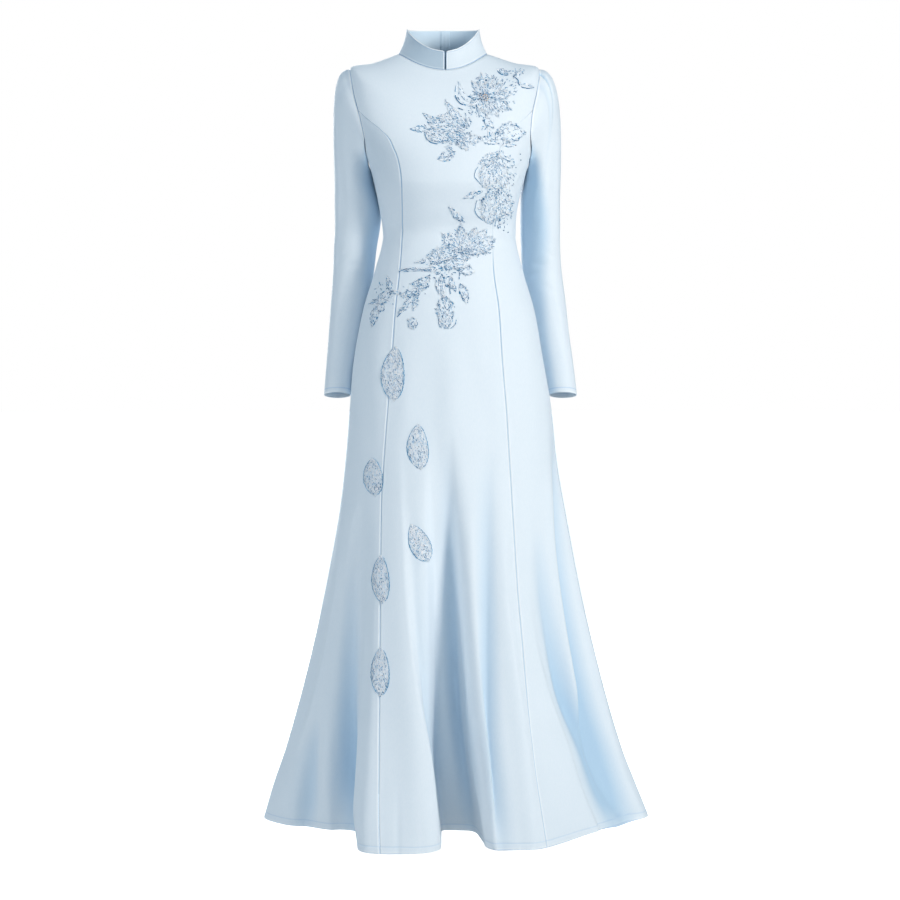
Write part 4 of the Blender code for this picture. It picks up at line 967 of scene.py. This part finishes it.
def front_surface():
    """The dress's front without its seams, in millimetres, for the lace to lie on."""
    angle, v = np.meshgrid(np.linspace(6, 174, 420), dense_rows(0, 19.2, 5.0))
    points, _ = creased(angle, body_point(angle, v), body_normal(angle, v))
    faces = quads(np.arange(angle.size).reshape(angle.shape))
    return BVHTree.FromPolygons(points.reshape(-1, 3).tolist(), faces.tolist())


FRONT = front_surface()


def on_front(places, lift):
    """Points of the front at those x and z, raised along the cloth's outward direction."""
    raised = []
    for (x, z), up in zip(places, np.broadcast_to(lift, len(places))):
        point, normal, _, _ = FRONT.ray_cast(Vector((x, -600, z)), TOWARDS_BACK)
        normal = normal if normal.y < 0 else -normal
        raised.append(point + normal * float(up))
    return raised


def line_frame(start, end):
    """A line's start, its run, its length and the direction across it."""
    start, along = np.array(start, float), np.array(end, float) - start
    length = np.linalg.norm(along)
    return start, along, length, np.array([-along[1], along[0]]) / length


class Lacework:
    """One applique on its way: net faces, cord lines and bead points, with what the nodes read."""

    def __init__(self, name, seed):
        self.name, self.chance = name, np.random.default_rng(seed)
        self.points, self.edges, self.faces = [], [], []
        self.kind, self.thick, self.tone = [], [], []

    def take(self, points, kind, thick, tone):
        start = len(self.points)
        self.points.extend(points)
        self.kind.extend([kind] * len(points))
        self.thick.extend(np.broadcast_to(thick, len(points)).tolist())
        self.tone.extend([float(tone)] * len(points))
        return start

    def cord(self, places, lift, thick, tone):
        start = self.take(on_front(places, lift), 1, thick, tone)
        self.edges.extend((start + i, start + i + 1) for i in range(len(places) - 1))

    def bead(self, x, z, lift, radius, tone):
        self.take(on_front([(x, z)], lift), 2, radius, tone)

    def shade(self, dark):
        return self.chance.choice(DARK_TONES if dark else LIGHT_TONES)

    def stroke(self, centre, heading, long, bend, lift, thick, tone):
        """A short curved thread."""
        run = np.linspace(-1, 1, 3)[:, None]
        way = np.array([np.cos(heading), np.sin(heading)])
        across = np.array([-way[1], way[0]])
        self.cord(np.asarray(centre) + long / 2 * run * way + bend * (1 - run**2) * across, lift, thick, tone)

    def petal(self, base, tip, width, full, order, edging, filling, spread, turning, dark_share):
        """A net petal edged with couched cords and filled with short curled threads and beads."""
        chance = self.chance
        base, along, length, side = line_frame(base, tip)
        bow = chance.uniform(-0.05, 0.05) * length
        phase, teeth = chance.uniform(0, 6.28), length / 7
        corded = edging >= 1
        teeth_deep, stray, wave = (0.02, 0.25, 0.01) if corded else (0.1, 0.9, 0.05)

        def half(t):
            wide = np.sin(np.pi * np.clip(t, 0, 1) ** 0.85) ** (1.3 - 0.95 * full)
            return wide * width / 2 * (1 + teeth_deep * np.sin(2 * np.pi * teeth * t + phase))

        def place(t, s):
            t, s = np.broadcast_arrays(np.asarray(t, float), np.asarray(s, float))
            middle = base + along * t[..., None] + side * (bow * np.sin(np.pi * t))[..., None]
            return middle + side * (s * half(t))[..., None]

        def top(s):
            crown = NET_CROWN * (1 - np.clip(np.asarray(s, float) ** 2, 0, 1))
            return NET_LIFT + PETAL_STEP * (order % 4) + NET_EDGE + crown

        rows, columns = int(length / NET_ROW) + 6, 7
        t, s = np.meshgrid(np.linspace(0.03, 0.97, rows), np.linspace(-0.97, 0.97, columns), indexing="ij")
        spots = place(t, s).reshape(-1, 2)
        start = self.take(on_front(spots, top(s).reshape(-1)) + on_front(spots, NET_LIFT), 0, 1, 0.6)
        facing = np.cross(np.append(along, 0), np.append(side, 0))[2] < 0
        for face in wall_faces(rows, columns, False):
            self.faces.append([start + i for i in (face if facing else face[::-1])])

        for edge in (-1, 1):
            t = 0.01
            while t < 0.97:
                step = chance.uniform(*STITCHES) / length
                if chance.random() < edging:
                    ts = np.linspace(t, min(t + step, 0.99), 4)
                    out = edge * (1 + stray * chance.uniform(-1, 1) / (half(ts) + 1.5))
                    out = out + wave * np.sin(ts * length * 1.4 + phase)
                    tone = chance.choice(CORDED_TONES) if corded else self.shade(chance.random() < 0.6)
                    self.cord(place(ts, out), top(1) + CORD_LIFT, chance.uniform(0.5, 0.95), tone)
                    if chance.random() < 0.75:
                        beside, thick = out - edge * 1.4 / (half(ts) + 1.5), chance.uniform(0.5, 0.8)
                        tone = self.shade(not corded and chance.random() < 0.3)
                        self.cord(place(ts, beside), top(0.9) + CORD_LIFT, thick, tone)
                t += step * chance.uniform(0.75, 1.2)

        area = length * width * PETAL_SHARE
        for _ in range(int(filling * area / THREAD_AREA)):
            t, s = chance.uniform(-0.02, 1.0), chance.uniform(-spread, spread)
            centre, lift = place(t, s), top(s) + chance.uniform(0.05, 0.3)
            way = centre - base if turning < 0.3 else along
            heading = np.arctan2(way[1], way[0]) + chance.choice([-1, 1]) * chance.uniform(0, turning)
            heading = heading + (1.57 if chance.random() < 0.2 * turning else 0)
            long, bend = chance.uniform(1.4, 5.4 - turning), chance.uniform(-0.8, 0.8)
            dark = chance.random() < dark_share * (1.3 - 0.6 * t)
            thick = chance.uniform(0.4, 0.85 - 0.2 * max(t, 0))
            tone = self.shade(dark) + (0.12 * max(t, 0) if dark else 0)
            self.stroke(centre, heading, long, bend, lift, thick, tone)
            # Painted highlight: most dark threads get a white one just above and to their right.
            if dark and chance.random() < 0.75:
                beside = centre + np.array([0.6, 1.0])
                self.stroke(beside, heading, long * 0.85, bend, lift, chance.uniform(0.45, 0.75), 1.0)
        for _ in range(int(area / BEAD_AREA) + 1):
            t, s = chance.uniform(0.05, 0.95), chance.uniform(-0.85, 0.85)
            self.bead(*place(t, s), top(s) + 0.3, chance.uniform(0.6, 1.0), 0.85 * chance.random())

    def tendril(self, start, end, bow, thick):
        """A curved couched cord in short stitched lengths, dark below and light above: a dark blue cord with
        a lighter cord laid just above and to its right as a painted highlight.
        """
        chance = self.chance
        start, along, length, side = line_frame(start, end)
        t = 0.0
        while t < 0.98:
            step = chance.uniform(*TENDRIL_STITCHES) / length
            ts = np.linspace(t, min(t + step, 1.0), 4)
            out = bow * 0.75 * np.sin(np.pi * ts) + chance.uniform(-0.7, 0.7)
            line = start + along * ts[:, None] + side * out[:, None]
            t += step * chance.uniform(0.9, 1.25)
            if chance.random() < 0.2:
                continue
            self.cord(line, 1.0, thick * chance.uniform(0.7, 1.0), chance.choice([0.04, 0.16, 0.3]))
            # Painted highlight: a lighter cord just above and to the right of each dark length.
            self.cord(line + np.array([0.5, 1.1]), 0.9, 0.75 * thick, chance.choice([0.85, 1.0]))

    def scatter(self, x, z, half_x, half_z, count):
        """Loose short threads sewn around a motif, fewer towards its rim and pointing out from its middle."""
        chance = self.chance
        for _ in range(count):
            turn, reach = chance.uniform(0, 6.28), chance.random() ** 0.6
            away = np.array([half_x * np.cos(turn), half_z * np.sin(turn)])
            heading = np.arctan2(away[1], away[0]) + chance.uniform(-0.8, 0.8)
            centre = np.array([x, z]) + reach * away
            dark = chance.random() < 0.55
            long, bend, thick = chance.uniform(1.6, 4.5), chance.uniform(-0.6, 0.6), chance.uniform(0.4, 0.75)
            self.stroke(centre, heading, long, bend, 0.4, thick, self.shade(dark))
            # Some threads get a shorter one of the other tone just above and to their right; beside a dark
            # thread it is a painted highlight.
            if chance.random() < 0.4:
                self.stroke(centre + np.array([0.5, 0.9]), heading, 2.2, 0.2, 0.4, 0.5, self.shade(not dark))

    def finish(self, tree, sockets):
        mesh = bpy.data.meshes.new(self.name + "_start")
        mesh.from_pydata([point * MM for point in self.points], self.edges, self.faces)
        for label, values in (("kind", self.kind), ("thick", self.thick), ("tone", self.tone)):
            attribute = mesh.attributes.new(label, "FLOAT", "POINT")
            attribute.data.foreach_set("value", np.array(values, np.float32))
        start = bpy.data.objects.new(self.name + "_start", mesh)
        bpy.context.scene.collection.objects.link(start)
        modifier = start.modifiers.new("lace_work", "NODES")
        modifier.node_group = tree
        modifier[sockets["Cord radius"]] = CORD_RADIUS * MM
        modifier[sockets["Bead radius"]] = MM
        graph = bpy.context.evaluated_depsgraph_get()
        done = bpy.data.meshes.new_from_object(
            start.evaluated_get(graph), preserve_all_data_layers=True, depsgraph=graph)
        start.modifiers.remove(modifier)
        bpy.data.objects.remove(start)
        done.name = self.name
        made = bpy.data.objects.new(self.name, done)
        bpy.context.scene.collection.objects.link(made)
        return made


def lace_materials():
    net, tree, shader = material("lace_net", Roughness=0.7)
    cells = texture(tree, "ShaderNodeTexVoronoi", (-700, 0), {"Scale": 620.0}, feature="DISTANCE_TO_EDGE")
    tone = ramp(cells, "Distance", ((0.04, (0.78, 0.86, 0.935)), (0.3, (0.71, 0.805, 0.90))))
    wire(tone, "Color", shader, "Base Color")
    roughen(shader, cells, "Distance", 0.6, 0.0004, invert=True)

    thread, tree, shader = material("lace_thread", Roughness=0.6, Specular_IOR_Level=0.2)
    twist = texture(tree, "ShaderNodeTexNoise", (-700, -200), {"Scale": 2600.0, "Detail": 2.0})
    roughen(shader, twist, "Fac", 0.5, 0.0002)
    read = node(tree, "ShaderNodeAttribute", (-900, 100), attribute_name="tone")
    wire(ramp(read, "Fac", THREAD_TONES), "Color", shader, "Base Color")

    bead, tree, shader = material("lace_bead", Roughness=0.18, Metallic=0.25, Coat_Weight=0.6)
    read = node(tree, "ShaderNodeAttribute", (-900, 100), attribute_name="tone")
    wire(ramp(read, "Fac", BEAD_TONES, "CONSTANT"), "Color", shader, "Base Color")
    return net, thread, bead


def lace_tree():
    """Geometry nodes that turn lines to round cords, set a bead on each bead point, and keep the net."""
    tree = bpy.data.node_groups.new("lace_work", "GeometryNodeTree")
    tree.is_modifier = True
    face, sockets = tree.interface, {}
    face.new_socket("Geometry", in_out="INPUT", socket_type="NodeSocketGeometry")
    for label in ("Cord radius", "Bead radius"):
        sockets[label] = face.new_socket(label, in_out="INPUT", socket_type="NodeSocketFloat").identifier
    face.new_socket("Geometry", in_out="OUTPUT", socket_type="NodeSocketGeometry")
    source, sink = node(tree, "NodeGroupInput", (-1400, 0)), node(tree, "NodeGroupOutput", (1200, 0))
    kind, thick = [
        node(tree, "GeometryNodeInputNamedAttribute", (-1400, y), {"Name": label}, data_type="FLOAT")
        for label, y in (("kind", -300), ("thick", -460))]
    join = node(tree, "GeometryNodeJoinGeometry", (800, 0))

    def apart(value, y):
        """What stands on the points of one kind."""
        inputs = {"B": float(value), "Epsilon": 0.25}
        test = node(tree, "FunctionNodeCompare", (-1100, y), inputs, data_type="FLOAT", operation="EQUAL")
        split = node(tree, "GeometryNodeSeparateGeometry", (-800, y), domain="POINT")
        wire(kind, "Attribute", test, "A")
        wire(source, "Geometry", split, "Geometry")
        wire(test, "Result", split, "Selection")
        return split

    def dressed(made, output, look, y):
        smooth = node(tree, "GeometryNodeSetShadeSmooth", (350, y))
        coat = node(tree, "GeometryNodeSetMaterial", (550, y), {"Material": look})
        wire(made, output, smooth, "Geometry")
        wire(smooth, "Geometry", coat, "Geometry")
        wire(coat, "Geometry", join, "Geometry")

    dressed(apart(0, 300), "Selection", LACE_NET, 300)
    lines = node(tree, "GeometryNodeMeshToCurve", (-500, 0))
    radius = node(tree, "GeometryNodeSetCurveRadius", (-300, 0))
    profile = node(tree, "GeometryNodeCurvePrimitiveCircle", (-500, -200), {"Resolution": 3})
    sweep = node(tree, "GeometryNodeCurveToMesh", (-50, 0), {"Fill Caps": True})
    wire(apart(1, 0), "Selection", lines, "Mesh")
    wire(lines, "Curve", radius, "Curve")
    wire(thick, "Attribute", radius, "Radius")
    wire(source, "Cord radius", profile, "Radius")
    if "Scale" in sweep.inputs:
        wire(thick, "Attribute", sweep, "Scale")
    wire(radius, "Curve", sweep, "Curve")
    wire(profile, "Curve", sweep, "Profile Curve")
    dressed(sweep, "Mesh", LACE_THREAD, 0)
    ball = node(tree, "GeometryNodeMeshUVSphere", (-500, -600), {"Segments": 6, "Rings": 4})
    place = node(tree, "GeometryNodeInstanceOnPoints", (-200, -500))
    real = node(tree, "GeometryNodeRealizeInstances", (50, -500))
    wire(source, "Bead radius", ball, "Radius")
    wire(apart(2, -400), "Selection", place, "Points")
    wire(ball, "Mesh", place, "Instance")
    wire(thick, "Attribute", place, "Scale")
    wire(place, "Instances", real, "Geometry")
    dressed(real, "Geometry", LACE_BEAD, -500)
    last = node(tree, "GeometryNodeRealizeInstances", (1000, 0))
    wire(join, "Geometry", last, "Geometry")
    wire(last, "Geometry", sink, "Geometry")
    return tree, sockets


LACE_NET, LACE_THREAD, LACE_BEAD = lace_materials()
LACE_TREE, LACE_SOCKETS = lace_tree()
# The blossom's heart is a spiral of beads.
HEART_X, HEART_Z, HEART_BEADS, HEART_TONES = 69, -89, 36, (0.02, 0.97, 0.8, 0.5, 0.2)
FIRST_SEED, BEAD_LIFT = 100, 1.6


def lace_pieces():
    made = {}
    for seed, (name, petals) in enumerate(PETALS.items()):
        work, leaf = Lacework("lace_" + name, FIRST_SEED + seed), name.startswith("leaf_")
        look = LEAF_LACEWORK if leaf else LACEWORK.get(name, PLAIN_LACEWORK)
        for order, (base_x, base_z, tip_x, tip_z, width, full) in enumerate(petals):
            work.petal((base_x, base_z), (tip_x, tip_z), width, full, order, *look)
        for from_x, from_z, to_x, to_z, bow, thick in TENDRILS.get(name, ()):
            work.tendril((from_x, from_z), (to_x, to_z), bow, thick)
        for patch in SCATTERED.get(name, ()):
            work.scatter(*patch)
        for x, z, radius in BEADS.get(name, ()):
            work.bead(x, z, BEAD_LIFT, radius, 0.1)
        for i in range(HEART_BEADS if name == "blossom" else 0):
            turn, reach = 2.4 * i, 1.45 * np.sqrt(i)
            x, z = HEART_X + reach * np.cos(turn), HEART_Z + reach * np.sin(turn)
            work.bead(x, z, 1.7, 0.85 + 0.2 * (i % 3), HEART_TONES[i % 5])
        made[name] = work.finish(LACE_TREE, LACE_SOCKETS)
        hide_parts(name if leaf else "applique_" + name)
        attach(made[name], "dress")
    return made


LACE = lace_pieces()


# Studio: a plain pale floor under an even bright sky, with four soft warm lamps. Each lamp has its
# name, place, aim, size, power and colour.
WORLD_LIGHT, WORLD_BLUE, FLOOR_GLOW = 0.25, (0.19, 0.625, 1.0), 1.0
FLOOR_Z, FLOOR_REACH, FLOOR_SIDES = -1.5, 30.0, 48
CAMERA_PLACE, CAMERA_AIM, CAMERA_LENS = (0.0083, -4.0, -0.542), (0.0083, 0, -0.727), 86.49
LAMPS = (
    ("key", (2.85, -2.65, 0.7), (0, 0, -0.6), (1.0, 1.8), 114, (1.0, 0.912, 0.815)),
    ("fill", (-3.3, -1.85, 0.55), (0, 0, -0.5), (1.0, 1.8), 42, (1.0, 0.92, 0.84)),
    ("top", (0.1, -1.6, 2.4), (0, 0, -0.2), (1.2, 0.9), 24, (1.0, 0.92, 0.84)),
    ("back", (-0.9, 3.3, 0.5), (0, 0, -0.6), (1.2, 1.8), 95, (1.0, 0.94, 0.88)),
)


def aimed(name, data, place, aim):
    made = bpy.data.objects.new(name, data)
    made.location = place
    made.rotation_euler = (Vector(aim) - Vector(place)).to_track_quat("-Z", "Y").to_euler()
    bpy.context.scene.collection.objects.link(made)
    return made


def studio():
    world = bpy.data.worlds.new("studio")
    bpy.context.scene.world = world
    world.use_nodes = True
    tree, back = world.node_tree, world.node_tree.nodes["Background"]
    back.inputs["Strength"].default_value = 1.0
    tones = {"A": (*[share * WORLD_LIGHT for share in WORLD_BLUE], 1), "B": (1, 1, 1, 1)}
    sky = node(tree, "ShaderNodeMix", (-400, 200), tones, data_type="RGBA")
    wire(node(tree, "ShaderNodeLightPath", (-700, 200)), "Is Camera Ray", sky, "Factor")
    wire(sky, "Result", back, "Color")
    floor_look, tree, shader = material(
        "pale_floor", Base_Color=(0.97, 0.97, 0.97, 1), Emission_Color=(1, 1, 1, 1), Roughness=0.9)
    glow = node(tree, "ShaderNodeMath", (-300, -200), {1: FLOOR_GLOW}, operation="MULTIPLY")
    wire(node(tree, "ShaderNodeLightPath", (-600, -200)), "Is Camera Ray", glow, 0)
    wire(glow, 0, shader, "Emission Strength")
    turns = np.linspace(0, 2 * np.pi, FLOOR_SIDES + 1)[:-1]
    mesh = bpy.data.meshes.new("floor")
    points = [(FLOOR_REACH * np.cos(turn), FLOOR_REACH * np.sin(turn), FLOOR_Z) for turn in turns]
    mesh.from_pydata(points, [], [range(FLOOR_SIDES)])
    mesh.materials.append(floor_look)
    floor = bpy.data.objects.new("floor", mesh)
    bpy.context.scene.collection.objects.link(floor)
    for name, place, aim, size, power, colour in LAMPS:
        data = bpy.data.lights.new(name, "AREA")
        data.shape, data.energy, data.color = "RECTANGLE", power, colour
        data.size, data.size_y = size
        aimed(name, data, place, aim)
    data = bpy.data.cameras.new("camera")
    data.lens, data.sensor_width = CAMERA_LENS, 36.0
    bpy.context.scene.camera = aimed("camera", data, CAMERA_PLACE, CAMERA_AIM)
    view = bpy.context.scene.view_settings
    view.view_transform, view.look, view.exposure, view.gamma = "Standard", "None", 0.0, 1.0


studio()
